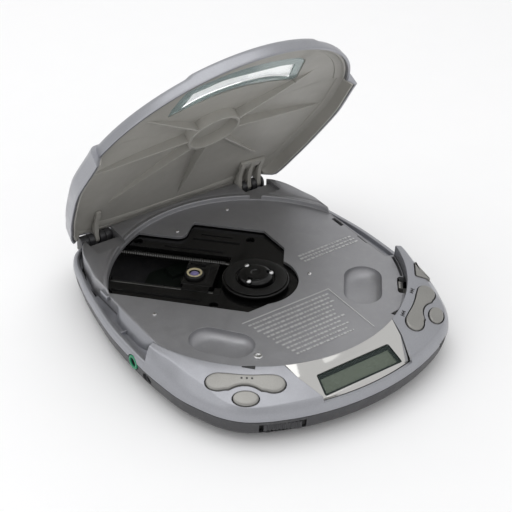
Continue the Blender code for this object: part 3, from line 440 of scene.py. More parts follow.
# Near-black, barely reflecting paint that stands in for shade: the band round the display and the insides
# of the jack holes.
SHADE_BLACK = surface("painted_shade_look", (0.004, 0.004, 0.005), 0.5, 0.0, 0.03, 0.0, 0.001, edge=0, ior=1.15)
INK = surface("ink_look", (0.012, 0.012, 0.014), 0.5, 0.0, 0.05, 0.0, 0.004, edge=0)

CAD_LOOKS = {
    "silver_paint": SILVER, "deck_grey": DECK_MAT, "dark_plastic": DARK, "liner_grey": LINER,
    "black_plastic": BLACK, "key_grey": KEY, "chrome": CHROME, "clear_plastic": GLASS,
    "lcd_glass": LCD, "green_plastic": GREEN, "steel": STEEL, "gold_plastic": CREAM,
    "rubber": RUBBER, "circuit_board": BOARD}


DARKENED = ("guide_rod", "hinge_pin_left", "hinge_pin_right", "spindle_shaft")


def dress_cad_nodes():
    slots = {row["node"]: row["material_slot"] for row in frame["record"]["subparts"]}
    for name, obj in frame["nodes"].items():
        obj.data.materials.clear()
        obj.data.materials.append(DARK_STEEL if name in DARKENED else CAD_LOOKS[slots[name]])


# ----------------------------------------------------------------- the case
def case_bottom():
    angles = columns()
    profile = softened([(60, 0.0, 0), (14.0, 0.0, 6.0), (3.4, 2.2, 3.0), (1.2, 4.4, 1.5),
                        (0.25, SEAM - 0.5, 0.3), (0.0, SEAM - 0.15, 0.12), (1.6, SEAM - 0.15, 0.1),
                        (2.8, 5.0, 0.5), (4.8, 3.6, 1.0), (15.0, 1.5, 1.0), (60, 1.5, 0)], 5)
    rings = [ring(angles, lambda a, d=d: rho(a) - d, lambda a, x, y, z=z: z) for d, z in profile]
    out = ("DIFFERENCE", along(box(-9.2, 9.2, -2.2, 2.2, -1.8, 4), HOLD, HOLD_OUT, HOLD_UP))
    steps = [("UNION", box(-29.9, 29.9, -63.2, -23.6, 0.8, 2.9)),
             ("DIFFERENCE", box(-27.3, 27.3, -61.0, -31.0, -1, 12)),
             ("DIFFERENCE", box(-28.4, 28.4, -61.8, -24.7, -1, 1.5)),
             ("DIFFERENCE", rod((-70, JACK_Y, JACK_Z), (-60, JACK_Y, JACK_Z), 3.4)),
             ("DIFFERENCE", rod((-70, DC_Y, DC_Z), (-60, DC_Y, DC_Z), 2.9)),
             out]
    for x, y in [(-47, -30), (47, -30), (-38, 47), (38, 47)]:
        steps.append(("DIFFERENCE", turned([(4.3, -1.0), (4.3, 0.45)], (x, y))))
    for x, y in [(-39, -45.5), (39, -45.5), (-46, 52), (46, 52)]:
        steps.append(("DIFFERENCE", turned([(2.7, -1.0), (2.7, 2.9)], (x, y))))
    for k in range(5):
        slot_angle = radians(-57.5 + 2.6 * k)
        r = rho(degrees(slot_angle))
        centre = (r * cos(slot_angle), r * sin(slot_angle), SEAM - 2.1)
        steps.append(("DIFFERENCE", along(box(-1.1, 1.1, -0.9, 0.9, -3, 3), centre,
                                          (cos(slot_angle), sin(slot_angle), 0))))
    piece("case_bottom", loft(rings), DARK, "base", ["bottom_case"], steps)


def shell_section(angle):
    r = rho(angle)
    base = SEAM + 0.15
    if not in_front(angle):
        edge = deck_radius(angle) + 0.3
        floor = [(edge * (1 - f) + r * f, base, 0) for f in (0.2, 0.4, 0.6, 0.75, 0.9)]
        return [(r, base, 0), (r - 0.05, 12.2, 0.8), (r - 0.5, 13.4, 0.5), (r - 1.3, LEDGE, 0.6),
                (r - 2.8, LEDGE, 0.35), (r - 3.1, TROUGH, 0.5), (edge, TROUGH, 0.1),
                (edge, base, 0)] + floor
    flank = min(ridge_inset(angle), (r - FRONT_R) * 0.8)
    ridge = r - flank
    high = panel_height(ridge, 0)
    mid = (ridge + FRONT_R) / 2
    wall = FRONT_R + min(1.5, (ridge - FRONT_R) * 0.55)
    inner = max(wall + 0.2, ridge - 0.7)
    return [(r, base, 0), (r - 0.06 * flank, base + 0.31 * (high - base), 1.6),
            (r - 0.32 * flank, base + 0.61 * (high - base), 2.0),
            (r - 0.66 * flank, base + 0.83 * (high - base), 1.4), (ridge, high + 0.05, 0.5),
            (mid, panel_height(mid, 0), 1.0), (FRONT_R, PANEL, 0.55), (FRONT_R, 14.6, 0),
            (wall, 14.6, 0), (wall, PANEL - 1.8, 0), (inner, high - 1.7, 0),
            (max(inner + 0.15, r - 1.6), base + 0.45 * (high - base), 0),
            (max(inner + 0.3, r - 1.55), base, 0)]


def case_top():
    rings = []
    for a in columns():
        c, s = cos(radians(a)), sin(radians(a))
        rings.append([(r * c, r * s, z) for r, z in softened(shell_section(a), 4, closed=True)])
    steps = [("DIFFERENCE", display_wedge(0.3, 6.0, -2.2))]
    for outline in KEYS.values():
        steps.append(("DIFFERENCE", prism(grow(outline, 0.45), 12.0, 26.0)))
    steps += [("DIFFERENCE", rod((-70, JACK_Y, JACK_Z), (-62.9, JACK_Y, JACK_Z), 3.4)),
              ("DIFFERENCE", prism(GUTTER_SLOT, 11.1, 18)),
              ("DIFFERENCE", box(-DISPLAY_RIM_X, DISPLAY_RIM_X, -90, -75.2, DISPLAY_RIM, 30)),
              ("DIFFERENCE", prism(latch_pocket(), 11.5, 18.4))]
    for side in (-1, 1):
        corners = [(60.0, STEP_ANGLE + 0.6), (FRONT_R - 0.1, STEP_ANGLE + 0.6),
                   (FRONT_R - 0.1, STEP_ANGLE - 0.6), (60.0, STEP_ANGLE - 0.6)]
        notch = [(side * r * cos(radians(a)), r * sin(radians(a))) for r, a in corners]
        steps.append(("DIFFERENCE", prism(notch, 17.1, 30)))
    piece("case_top", loft(rings, loop=True), SILVER, "base", ["upper_shell"], steps)
    ears = []
    profile = circle(2.65, (HINGE_Y, HINGE_Z), 28, 0, 180)
    profile += [(HINGE_Y - 2.65, 11.6), (HINGE_Y + 2.65, 11.6)]
    for x0, x1 in ((36.4, 39.0), (41.8, 44.4), (47.0, 48.3), (-39.0, -36.4), (-44.4, -41.8),
                   (-36.2, -33.2), (-48.3, -44.6)):
        ears.append(side_prism(profile, x0, x1))
    piece("hinge_ears", joined(*ears), DARK, "base", bevel=0.2)
    for side, name in ((-1, "left"), (1, "right")):
        arc = [54.6 + 9.6 * k / 8 for k in range(9)]
        wall = [(rho(a) - 0.35, a) for a in arc] + [(rho(a) - 1.15, a) for a in reversed(arc)]
        outline = [(side * r * cos(radians(a)), r * sin(radians(a))) for r, a in wall]
        piece("hinge_shroud_" + name, prism(outline, 13.6, 16.9), DARK, "base",
              bevel=0.2)


def latch_pocket():
    corners = [(59.7, -5.9), (66.4, -5.9), (66.4, 5.9), (59.7, 5.9)]
    c, s = cos(LATCH_A), sin(LATCH_A)
    return rounded([(r * c - t * s, r * s + t * c) for r, t in corners], 2.2, 8)


def opening_outline():
    points = [(-56.6, 25.1), (-15.6, -17.5), (-8.4, -17.5)]
    points += circle(18.2, count=40, start=-108, stop=14)
    points += [(23.8, 12.3), (24, 28.3), (2.9, 49.8), (1.4, 50.6), (-0.2, 49.8)]
    points += circle(4.5, (-8.2, 48.8), 15, -50, -130)
    points += [(-23.2, 57.4)]
    points += circle(WELL_R - 0.2, count=22, start=112, stop=155.6)
    return points


def scoop(side, drop, extra):
    """Finger bowl: a long smooth hollow along the well's tangent."""
    cx, cy = side * 35.5, -28.0
    angle = atan2(cy, cx) + pi / 2
    rings = []
    for k in range(13):
        f = k / 12
        width = (8.0 + extra) * (1 - (f * 0.985) ** 2.6) ** 0.5
        reach = 5.5 * (1 - 0.35 * f * f)
        shape = circle(width, (reach, 0), 28, -90, 90) + circle(width, (-reach, 0), 28, 90, 270)
        rings.append([(cx + x * cos(angle) - y * sin(angle), cy + x * sin(angle) + y * cos(angle),
                       DECK - (drop + extra) * sin(f * pi / 2) ** 1.3) for x, y in shape])
    if extra == 0:
        lip = [(x + (x - cx) * 0.03, y + (y - cy) * 0.03, DECK + 1.0) for x, y, z in rings[0]]
        rings = [lip] + rings
    return loft(rings)


def deck():
    angles = columns()

    def rim(a, x, y):
        return DECK + (WELL_RIM - DECK) * smooth((y - 24.6) / 0.9)

    rows = [(99, 0.0, 11.2), (99, 0.0, -0.7), (99, 0.08, -0.35), (99, 0.25, -0.12),
            (99, 0.5, 0.0), (64.9, 0.52, 0.0), (64.6, 0.54, -0.12), (64.3, 0.56, -0.3),
            (63.6, 0.58, -0.3), (63.3, 0.60, -0.12), (63.0, 0.62, 0.0), (62.6, 0.64, 0.0),
            (62.25, 0.66, -0.1), (62.05, 0.68, -0.35), (62.0, 0.70, -0.7)]
    rings = []
    for reach, inset, level in rows:
        rings.append(ring(angles, lambda a: min(reach, deck_radius(a) - inset),
                          lambda a, x, y: level if level > 9 else max(rim(a, x, y) + level,
                                                                      DECK + min(level, 0) * 0.5)))
    floor = [(62.0, 0.5), (61.9, 0.25), (61.65, 0.08), (61.2, 0.0), (50, 0), (36, 0), (24, 0),
             (12, 0), (0.01, 0)]
    for k, (r, lift) in enumerate(floor):
        rings.append(ring(angles, lambda a: min(r, deck_radius(a) - 0.75 - 0.03 * k),
                          lambda a, x, y: DECK + lift * smooth((y - 24.6) / 0.9)))
    for r in (0.01, 30, 50):
        rings.append(ring(angles, lambda a: min(r, deck_radius(a) - 2.5),
                          lambda a, x, y: DECK_UNDER))
    for level in (DECK_UNDER, 11.2):
        rings.append(ring(angles, lambda a: deck_radius(a) - 1.5, lambda a, x, y: level))
    steps = [("UNION", scoop(-1, 4.2, 1.2)), ("UNION", scoop(1, 4.2, 1.2)),
             ("DIFFERENCE", scoop(-1, 4.2, 0)), ("DIFFERENCE", scoop(1, 4.2, 0)),
             ("DIFFERENCE", prism(opening_outline(), 9, 30)),
             ("DIFFERENCE", prism(latch_pocket(), 9, 30)),
             ("DIFFERENCE", prism(grow(SWITCH, 0.3), 9, 30)),
             ("DIFFERENCE", prism(rounded([(55.0, 12.6), (56.7, 12.6), (56.7, 19.6),
                                           (55.0, 19.6)], 0.4), 9, 30)),
             ("DIFFERENCE", prism(circle(61.4, count=13, start=-31, stop=-17.5)
                                  + circle(62.6, count=13, start=-17.5, stop=-31), 14.2, 30)),
             ("DIFFERENCE", prism(circle(60.4, count=11, start=-128, stop=-118)
                                  + circle(61.7, count=11, start=-118, stop=-128), 16.4, 30)),
             ("DIFFERENCE", box(56.0, 56.5, -4.2, 2.4, 17.0, 30))]
    for side in (-1, 1):
        x0, x1 = sorted((side * 33.0, side * 48.0))
        steps.append(("DIFFERENCE", box(x0, x1, 58.4, 80, 9, 30)))
        steps.append(("DIFFERENCE", box(x0, x1, 49.6, 59, 18.0, 30)))
    piece("deck", loft(rings, loop=True), DECK_MAT, "base", ["disc_deck"], steps)
    beads = [turned([(1.0, DECK - 0.4), (0.95, DECK + 0.1), (0.8, DECK + 0.38),
                     (0.45, DECK + 0.55), (0.01, DECK + 0.6)], spot, 20)
             for spot in [(-8.5, 48.6), (-48.2, 2.1), (21.3, -9.5), (19.8, 51.6)]]
    beads.append(turned([(1.9, DECK - 0.4), (1.85, DECK + 0.3), (1.55, DECK + 0.65),
                         (1.1, DECK + 0.7), (0.8, DECK + 0.45), (0.01, DECK + 0.35)],
                        (-28.5, -43.2), 28))
    piece("deck_beads", joined(*beads), STEEL, "base")
    # Painted highlight: the raised label lines take the lighter paint.
    frame_lines = [box(-22, 21.6, -22.75, -22.3, DECK - 0.1, DECK + 0.22),
                   box(21.15, 21.6, -53.2, -22.7, DECK - 0.1, DECK + 0.22)]
    piece("deck_label_lines", joined(*frame_lines), RELIEF_HIGHLIGHT, "base")
    deck_marks()


def deck_marks():
    """Raised ruled dashes where a moulded notice sits; they spell nothing. They take a lighter paint than
    the deck as painted highlight on the raised marks.
    """
    dashes = []
    for rows, x0, x1, y0, pitch in ((11, -21, 18.5, -25.2, 2.5), (3, 24, 54, 3.6, 2.2)):
        for row in range(rows):
            y = y0 - row * pitch
            lean = 0.5 * row if rows > 5 else 0
            x = x0 + lean + random.uniform(0, 1.0)
            stop = x1 - lean - random.uniform(0, 3)
            while x < stop:
                width = random.uniform(0.5, 1.9)
                if hypot(x, y) < 59.5 and hypot(x + width, y) < 59.5:
                    tall = random.uniform(0.75, 1.05)
                    dashes.append(box(x, x + width, y - tall / 2, y + tall / 2,
                                      DECK - 0.05, DECK + 0.2))
                x += width + random.uniform(0.35, 0.7)
    piece("deck_dashes", joined(*dashes), RELIEF_HIGHLIGHT, "base")


def trough_parts():
    """Ramps down the deck's sides, a rib in the gutter, a black plate of painted shade under the gutter's
    slot, a tab on the rim.
    """
    for side, name in ((-1, "left"), (1, "right")):
        rings = []
        for k in range(17):
            f = k / 16
            swell = max(0.02, 1 - abs(2 * f - 1) ** 5)
            profile = softened([(-0.3, 12.05, 0), (-0.3, DECK - 0.15, 0), (0.15, DECK - 0.15, 0.2),
                                (1.9, 15.0, 1.2), (3.4, 12.05, 0)], 4)
            rings.append([(side * (DECK_SIDE - 0.3 + 0.3 + (u * swell if u > 0 else u)),
                           16.5 - 29.5 * f, z) for u, z in profile])
        piece("gutter_ramp_" + name, loft(rings), SILVER, "base")
    piece("gutter_rib", prism(rounded([(-63.3, 3.5), (-59.2, 3.5), (-59.2, 4.2), (-63.3, 4.2)],
                                      0.2), 11.9, 13.5), SILVER, "base", bevel=0.15)
    # Painted shade: a black plate under the slot makes the opening read dark.
    piece("gutter_slot_shade", prism(grow(GUTTER_SLOT, 0.3), 11.02, 11.12), BLACK_SATIN_AND_SHADE, "base")
    piece("rim_tab", prism(rounded([(-59.0, 22.4), (-57.3, 22.4), (-57.3, 28.2), (-59.0, 28.2)],
                                   0.5), 15.6, 17.9), SILVER, "base", bevel=0.35)


# ------------------------------------------------------------------- display
def display_point(u, v, side_gap):
    """The frame's surface: an arc at the back, a flat field round the cover, a curved lip."""
    y_back = -sqrt((FRONT_R + 0.3) ** 2 - (26.3 * u) ** 2)
    y_lip = -75.3 - 2.2 * max(0.0, 1 - u * u) - 2 * side_gap
    fields = [(0.0, y_back, PANEL), (0.3, -65.6, glass_height(0, -65.6) + 0.1),
              (0.9, -74.9, glass_height(0, -74.9) + 0.1), (1.0, y_lip, PANEL - 7.6)]
    k = 0 if v < 0.3 else 1 if v < 0.9 else 2
    (v0, y0, z0), (v1, y1, z1) = fields[k], fields[k + 1]
    f = (v - v0) / (v1 - v0)
    return ((26.3 - 5.1 * v + side_gap) * u, y0 + (y1 - y0) * f, z0 + (z1 - z0) * f)


def display_wedge(side_gap, above, below, across=48, down=20):
    rows = [j / down for j in range(down + 1)]
    if side_gap > 0:
        rows = [-0.12] + rows
    grid = [[display_point(-1 + 2 * i / across, v, side_gap) for i in range(across + 1)]
            for v in rows]
    verts, faces = [], []
    wide = across + 1
    for offset in (above, below):
        for row in grid:
            verts += [(x, y, z + offset) for x, y, z in row]
    layer = wide * len(rows)
    for j in range(len(rows) - 1):
        for i in range(across):
            a = j * wide + i
            faces.append((a, a + 1, a + wide + 1, a + wide))
            faces.append((layer + a, layer + a + wide, layer + a + wide + 1, layer + a + 1))
    edge = list(range(wide)) + [j * wide + across for j in range(1, len(rows))]
    edge += [(len(rows) - 1) * wide + i for i in range(across - 1, -1, -1)]
    edge += [j * wide for j in range(len(rows) - 2, 0, -1)]
    for i in range(len(edge)):
        a, b = edge[i], edge[(i + 1) % len(edge)]
        faces.append((a, layer + a, layer + b, b))
    return verts, faces


def glass_height(x, y):
    return 14.7 + 0.5375 * (y + 74.4)


GLASS_EDGE = [(-18.9, -74.4), (18.9, -74.4), (17.6, -66.4), (-17.6, -66.4)]


def display_plate(inset, top, low):
    """A flat plate under the display cover, made in strips across its width."""
    rings = []
    for k in range(13):
        f = 2 * k / 12 - 1
        front, back = (18.9 - inset) * f, (17.6 - inset) * f
        y_front, y_back = -74.4 + inset, -66.4 - inset
        rings.append([(front, y_front, glass_height(front, y_front) - low),
                      (back, y_back, glass_height(back, y_back) - low),
                      (back, y_back, glass_height(back, y_back) - top),
                      (front, y_front, glass_height(front, y_front) - top)])
    return loft(rings)


def display():
    hole = rounded(GLASS_EDGE, 0.9)
    piece("display_frame", display_wedge(0.0, 0.0, -1.9), CHROME, "base", ["lcd_bezel"],
          [("DIFFERENCE", prism(hole, 8, 30))])
    inset = grow(hole, -0.25)
    piece("display_cover", prism(inset, lambda x, y: glass_height(x, y) - 0.6, glass_height),
          FILM, "base", ["lcd_window"])
    piece("display_panel", display_plate(0.6, 1.5, 2.8), LCD, "base", ["lcd_module"])
    # Painted shade: a near-black ring under the cover's edge stands in for the dark band along the
    # display's edge.
    shade_ring = [[(x, y, glass_height(x, y) - drop) for x, y in grow(hole, -inset_by)]
            for drop, inset_by in ((1.45, 0.25), (0.75, 0.25), (0.75, 1.15), (1.45, 1.15))]
    piece("display_shade_ring", loft(shade_ring, loop=True), SHADE_BLACK, "base")


# ---------------------------------------------------------------------- keys
def placed(points, centre, angle, side):
    c, s = cos(angle), sin(angle)
    result = [(side * (centre[0] + x * c - y * s), centre[1] + x * s + y * c) for x, y in points]
    return result if side > 0 else result[::-1]


def ellipse(a, b, centre=(0, 0), count=44, start=0.0, stop=360.0):
    return [(centre[0] + a * x, centre[1] + b * y) for x, y in circle(1.0, (0, 0), count, start, stop)]


def rocker_outline(side):
    a, b = ROCKER_LOBE
    points = ellipse(a, b, (ROCKER_REACH, 0), 30, -116, 104)
    points += [(6.6, b - 0.25), (4.5, b - 0.5), (2.2, b - 0.66), (0, b - 0.72), (-2.2, b - 0.66),
               (-4.5, b - 0.5), (-6.6, b - 0.25)]
    points += ellipse(a, b, (-ROCKER_REACH, 0), 30, 76, 296)
    points += [(u, -1.15 - 0.052 * u * u) for u in (-6.2, -5.2, -4.0, -2.6, -1.0, 1.0, 2.6, 4.0, 5.2, 6.2)]
    return placed(points, ROCKER, KEY_TURN, side)


KEY_TURN = atan2(0.6, 0.8)
ROCKER, ROCKER_REACH, ROCKER_LOBE = (43.2, -56.0), 10.3, (4.9, 3.6)
SMALL_KEY = (46.9, -61.7)
KEYS = {
    "volume_rocker": rocker_outline(-1),
    "skip_rocker": rocker_outline(1),
    "mode_button": placed(ellipse(4.9, 2.9), SMALL_KEY, KEY_TURN, -1),
    "stop_button": placed(ellipse(4.9, 2.9), SMALL_KEY, KEY_TURN, 1),
    "open_button": rounded([(60.9, -31.0), (54.6, -39.2), (59.9, -42.9)], 0.9),
}
KEY_BODIES = {"volume_rocker": "volume_key", "skip_rocker": "skip_key", "mode_button": "mode_key",
              "stop_button": "stop_key", "open_button": "open_key"}


def rocker_spine(side):
    """The line down the middle of a rocker towards which its top closes."""
    c, s = cos(KEY_TURN), sin(KEY_TURN)

    def nearest(x, y):
        u = (side * x - ROCKER[0]) * c + (y - ROCKER[1]) * s
        u = max(-0.95 * ROCKER_REACH, min(0.95 * ROCKER_REACH, u))
        return placed([(u, 0.9 * (1 - (u / ROCKER_REACH) ** 2))], ROCKER, KEY_TURN, side)[0]
    return nearest


def key_cap(name, outline, spine=None):
    """A soft-topped key that follows the panel's slope."""
    count = len(outline)
    middle = (sum(p[0] for p in outline) / count, sum(p[1] for p in outline) / count)
    rings = []
    for inset, lift in ((0, -3.4), (0, 0.25), (0.06, 0.45), (0.2, 0.62), (0.42, 0.74),
                        (0.75, 0.8)):
        rings.append([(x, y, panel_height(x, y) + lift) for x, y in grow(outline, -inset)])
    for share in (0.8, 0.55, 0.3, 0.08):
        ring_points = []
        for x, y in grow(outline, -0.75):
            cx, cy = spine(x, y) if spine else middle
            px, py = cx + (x - cx) * share, cy + (y - cy) * share
            ring_points.append((px, py, panel_height(px, py) + 0.8))
        rings.append(ring_points)
    piece(name + "_cap", loft(rings), KEY, KEY_BODIES[name], [name])


def mark(name, outline, body, material=INK, lift=0.83):
    """A thin printed or engraved sign lying on the panel or on a key."""
    piece(name, prism(outline, lambda x, y: panel_height(x, y) + lift - 0.25,
                      lambda x, y: panel_height(x, y) + lift), material, body)


def place(shape, centre, angle, side=1):
    c, s = cos(radians(angle)), sin(radians(angle))
    return [(centre[0] + x * c - y * s, centre[1] + x * s + y * c) for x, y in shape]


def keys():
    spines = {"volume_rocker": rocker_spine(-1), "skip_rocker": rocker_spine(1)}
    for name, outline in KEYS.items():
        key_cap(name, outline, spines.get(name))
    arrow = [(-0.75, -0.85), (0.6, 0.0), (-0.75, 0.85)]
    bar = [(-0.2, -0.85), (0.2, -0.85), (0.2, 0.85), (-0.2, 0.85)]
    for name, centre, angle in (("forward", (46.0, -46.9), 39), ("back", (33.0, -56.9), 219)):
        for k, (shape, shift) in enumerate(((arrow, -0.9), (arrow, 0.5), (bar, 1.35))):
            spot = place([(shift, 0)], centre, angle)[0]
            mark("mark_%s_%d" % (name, k), place(shape, spot, angle), "base", INK, 0.03)
    wedge = [(-2.6, -0.25), (2.6, -0.8), (2.6, 0.8), (-2.6, 0.25)]
    mark("mark_volume", place(wedge, (-38.6, -51.2), -39), "base", INK, 0.03)
    for k, spot in enumerate(((-43.8, -54.2), (-42.2, -55.4), (-40.6, -56.6))):
        mark("mark_step_%d" % k, circle(0.42, spot, 16), "volume_key")


# ------------------------------------------------------------------ the rest
def latch_and_slider():
    out = (cos(LATCH_A), sin(LATCH_A))
    profile = softened([(60.2, 12.4, 0), (69.0, 12.4, 0), (69.0, 13.9, 0), (62.1, 13.9, 0.5),
                        (62.1, 16.9, 0.3), (60.9, 17.4, 0.2), (60.2, 17.4, 0.1)], 4, closed=True)
    rings = []
    for w, inset in ((-2.3, 0.15), (-2.15, 0), (2.15, 0), (2.3, 0.15)):
        rings.append([(r * out[0] - w * out[1], r * out[1] + w * out[0], z - (inset if z > 15 else 0))
                      for r, z in profile])
    piece("latch", loft(rings), KEY, "latch", ["latch_hook"])
    grip = softened([(-7.4, -1.2, 0), (-7.4, 0.6, 0.3)] + [
        (x, z, 0.15) for k in range(9) for x, z in ((-6.2 + 1.45 * k, 0.62), (-5.85 + 1.45 * k, 0.2),
                                                    (-5.35 + 1.45 * k, 0.2), (-5.0 + 1.45 * k, 0.62))
        if x < 7.2] + [(7.4, 0.6, 0.3), (7.4, -1.2, 0)], 3, closed=True)
    block = loft([[(x, y, z - (0.2 if abs(y) > 1.5 and z > 0 else 0)) for x, z in grip]
                  for y in (-1.6, -1.4, 1.4, 1.6)])
    piece("hold_grip", along(block, HOLD, HOLD_OUT, HOLD_UP), DARK, "hold",
          ["hold_slider"])
    # Painted shade: flush black blocks at the seam stand in for the dark openings of slots.
    for k, angle in enumerate((-56.2, -57.6, -59.0)):
        r = rho(angle)
        c, s = cos(radians(angle)), sin(radians(angle))
        piece("seam_slot_%d" % k, along(box(-0.95, 0.95, -0.75, 0.75, -1.2, 0.03), (r * c, r * s, 10.6),
                                        (c, s, 0), (0, 0, 1)), BLACK_SATIN_AND_SHADE, "base")
    # Painted shade: a black plate at the back of the slider's recess makes the recess read dark.
    piece("hold_well_shade", along(box(-9.15, 9.15, -2.15, 2.15, -1.85, -1.4), HOLD, HOLD_OUT, HOLD_UP),
          BLACK_SATIN_AND_SHADE, "base")
    sockets = (("jack", (-66.3, JACK_Y, JACK_Z), GREEN, "green_plastic", 1.9, 3.1, "headphone_jack"),
               ("dc", (-64.3, DC_Y, DC_Z), DARK, "black_plastic", 1.9, 2.7, "dc_jack"))
    for name, spot, look, slot, bore, outer, node in sockets:
        ring = torus([(bore, -3.0), (bore, 0.0), (bore + 0.2, 0.3), (outer - 0.3, 0.3),
                      (outer, 0.05), (outer, -3.0)], count=40)
        piece(name + "_ring", along(ring, spot, (-1, 0, 0)), look, "base", [node])
        # Painted shade: a near-black tube lines each socket's bore so that the hole reads dark.
        bore_shade = turned([(bore - 0.04, -9 + 2 * (name == "dc")), (bore - 0.04, -0.35)], count=30)
        piece(name + "_socket_shade", along(bore_shade, spot, (-1, 0, 0)), SHADE_BLACK, "base")


def hub():
    profile = softened([(7.2, PLATTER + 0.2, 0), (7.3, 19.3, 0.5), (6.6, 20.4, 0.6),
                        (5.0, 21.0, 0.8), (2.2, 21.1, 0.4), (1.6, 20.6, 0.4), (0.0, 20.5, 0)], 5)
    steps = []
    for k in range(3):
        a = radians(90 + 120 * k)
        spot = (6.5 * cos(a), 6.5 * sin(a), 20.0)
        steps.append(("DIFFERENCE", along(turned([(1.4, -2.0), (1.4, 3.0)], count=28), spot,
                                          (cos(a), sin(a), 0))))
        ball = [(1.15 * sin(pi * j / 14), -1.15 * cos(pi * j / 14)) for j in range(15)]
        piece("ball_%d" % (k + 1), along(turned(ball, count=28), spot, (cos(a), sin(a), 0)), STEEL,
              "ball_%d" % (k + 1), ["clamp_ball_%d" % (k + 1)])
    piece("hub", turned(profile, count=72), BLACK, "platter", ["spindle_hub"],
          steps)
    disc = softened([(0, 16.7, 0), (13.6, 16.7, 0.3), (14.25, 17.0, 0.3), (14.25, 17.9, 0.3),
                     (13.9, PLATTER - 0.1, 0.2), (8.2, PLATTER - 0.1, 0.2), (7.9, 17.7, 0.1),
                     (0, 17.7, 0)], 4)
    piece("platter_disc", turned(disc, count=96), BLACK, "platter", ["turntable"])
    mat_ring = softened([(8.6, PLATTER + 0.12, 0.1), (8.6, PLATTER + 0.4, 0.15),
                         (13.2, PLATTER + 0.4, 0.15), (13.2, PLATTER + 0.12, 0.1)], 3, closed=True)
    piece("platter_mat", torus(mat_ring, count=96), BLACK_SATIN_AND_SHADE, "platter", ["disc_mat"])


def chassis_outline():
    plan = [(62.8, -12.8), (65.6, -6), (65.6, 16), (60, 25.8), (44, 27), (37, 38.4), (2.4, 38.4),
            (-9.8, 26.4), (-10.2, 17.0)]
    points = [rail(s, t) for s, t in plan]
    points += [rail(19.8 * cos(radians(a)), 19.8 * sin(radians(a))) for a in range(128, 240, 4)]
    points += [rail(-1.8, -24.8), rail(53.0, -23.6)]
    return points


def mechanism():
    steps = [("DIFFERENCE", rail_box(13.5, 62.6, -11.4, 16.4, 8, 20)),
             ("DIFFERENCE", rail_box(62.2, 67.0, 10.8, 17.2, 8, 20)),
             ("DIFFERENCE", turned([(15.0, 14.9), (15.0, 20)], count=64))]
    for s, t in ((14, -19), (8, 31), (56, 20)):
        steps.append(("DIFFERENCE", turned([(2.0, 10), (2.0, 20)], rail(s, t), 24)))
    steps += [("UNION", rail_box(13.0, 16.0, -11.9, -7.4, 11.9, 15.6)),
              ("UNION", rail_box(60.4, 63.0, -11.9, -7.4, 11.9, 15.6)),
              ("UNION", rail_box(12.0, 33.0, 27.0, 29.0, 12.6, 15.9)),
              ("UNION", rail_box(20.0, 58.0, -17.2, -15.9, 13.0, 15.9)),
              ("UNION", rail_box(18.0, 44.0, 19.0, 20.2, 13.0, 15.85)),
              ("DIFFERENCE", rail_box(16.0, 30.0, 30.5, 31.2, 15.0, 20)),
              ("DIFFERENCE", rod(rail(12, GUIDE_T, 13.6), rail(64, GUIDE_T, 13.6), 1.4, 20))]
    piece("mechanism_plate", prism(chassis_outline(), 13.4, 15.4), BLACK, "base",
          ["mech_chassis"], steps)
    s0, s1 = LENS_S - 9.0, LENS_S + 4.5
    steps = [("UNION", rail_box(s0 + 1.0, s1 - 1.0, -11.0, -6.5, 12.0, 15.4)),
             ("UNION", rail_box(LENS_S - 3.5, LENS_S + 1.5, 9.0, 15.8, 9.6, 11.1)),
             ("DIFFERENCE", rod(rail(s0 - 2, GUIDE_T, 13.6), rail(s1 + 2, GUIDE_T, 13.6), 1.35, 20)),
             ("DIFFERENCE", turned([(4.6, 11.4), (4.6, 18)], rail(LENS_S, 0), 40)),
             ("DIFFERENCE", rail_box(s0 + 1.2, s0 + 3.4, -5.0, 6.5, 15.0, 18)),
             ("DIFFERENCE", rail_box(s1 - 8, s1 - 1.2, 6.4, 8.4, 14.9, 18))]
    piece("sled_body", rail_box(s0, s1, -7.0, 9.6, 8.6, 15.6), BLACK, "pickup",
          ["pickup_sled"], steps, bevel=0.25)
    holder = softened([(0, 12.2, 0), (4.2, 12.2, 0.2), (4.2, 16.4, 0.4), (3.6, 16.9, 0.3),
                       (2.7, 16.9, 0.3), (2.35, 16.2, 0.2), (2.3, 15.0, 0), (0, 15.0, 0)], 4)
    piece("lens_cup", turned(holder, rail(LENS_S, 0), 56), BLACK_SATIN_AND_SHADE, "lens",
          ["lens_holder"])
    ring_profile = softened([(2.45, 16.5, 0), (2.45, 17.0, 0.1), (3.35, 17.0, 0.2), (3.35, 16.5, 0)], 4,
                            closed=True)
    piece("lens_ring", torus(ring_profile, rail(LENS_S, 0), 48), CREAM, "lens")
    lens = [(2.1, 15.2)] + [(2.1 * cos(radians(10 * k)), 15.9 + 0.95 * sin(radians(10 * k)))
                            for k in range(10)]
    piece("lens_glass", turned(lens, rail(LENS_S, 0), 40), LENS, "lens",
          ["objective_lens"])
    lead_screw()


def lead_screw():
    pitch, crest, root, side_count, length = 1.0, 1.4, 1.12, 24, 46.2
    steps = int(length / 0.125)
    rings = []
    for z, r in ((-2.2, 0.85), (-0.05, 0.85)):
        rings.append([(x, y, z) for x, y in circle(r, count=side_count)])
    for k in range(steps + 1):
        z = k * length / steps
        points = []
        for i in range(side_count):
            a = 2 * pi * i / side_count
            wave = 0.5 + 0.5 * cos(a - 2 * pi * z / pitch)
            r = root + (crest - root) * wave
            points.append((r * cos(a), r * sin(a), z))
        rings.append(points)
    rings.append([(x, y, length + 0.05) for x, y in circle(0.7, count=side_count)])
    piece("drive_screw", along(loft(rings), rail(15.8, SCREW_T, SCREW_Z), rail(1, 0, 0)), DARK_STEEL,
          "screw", ["lead_screw"])


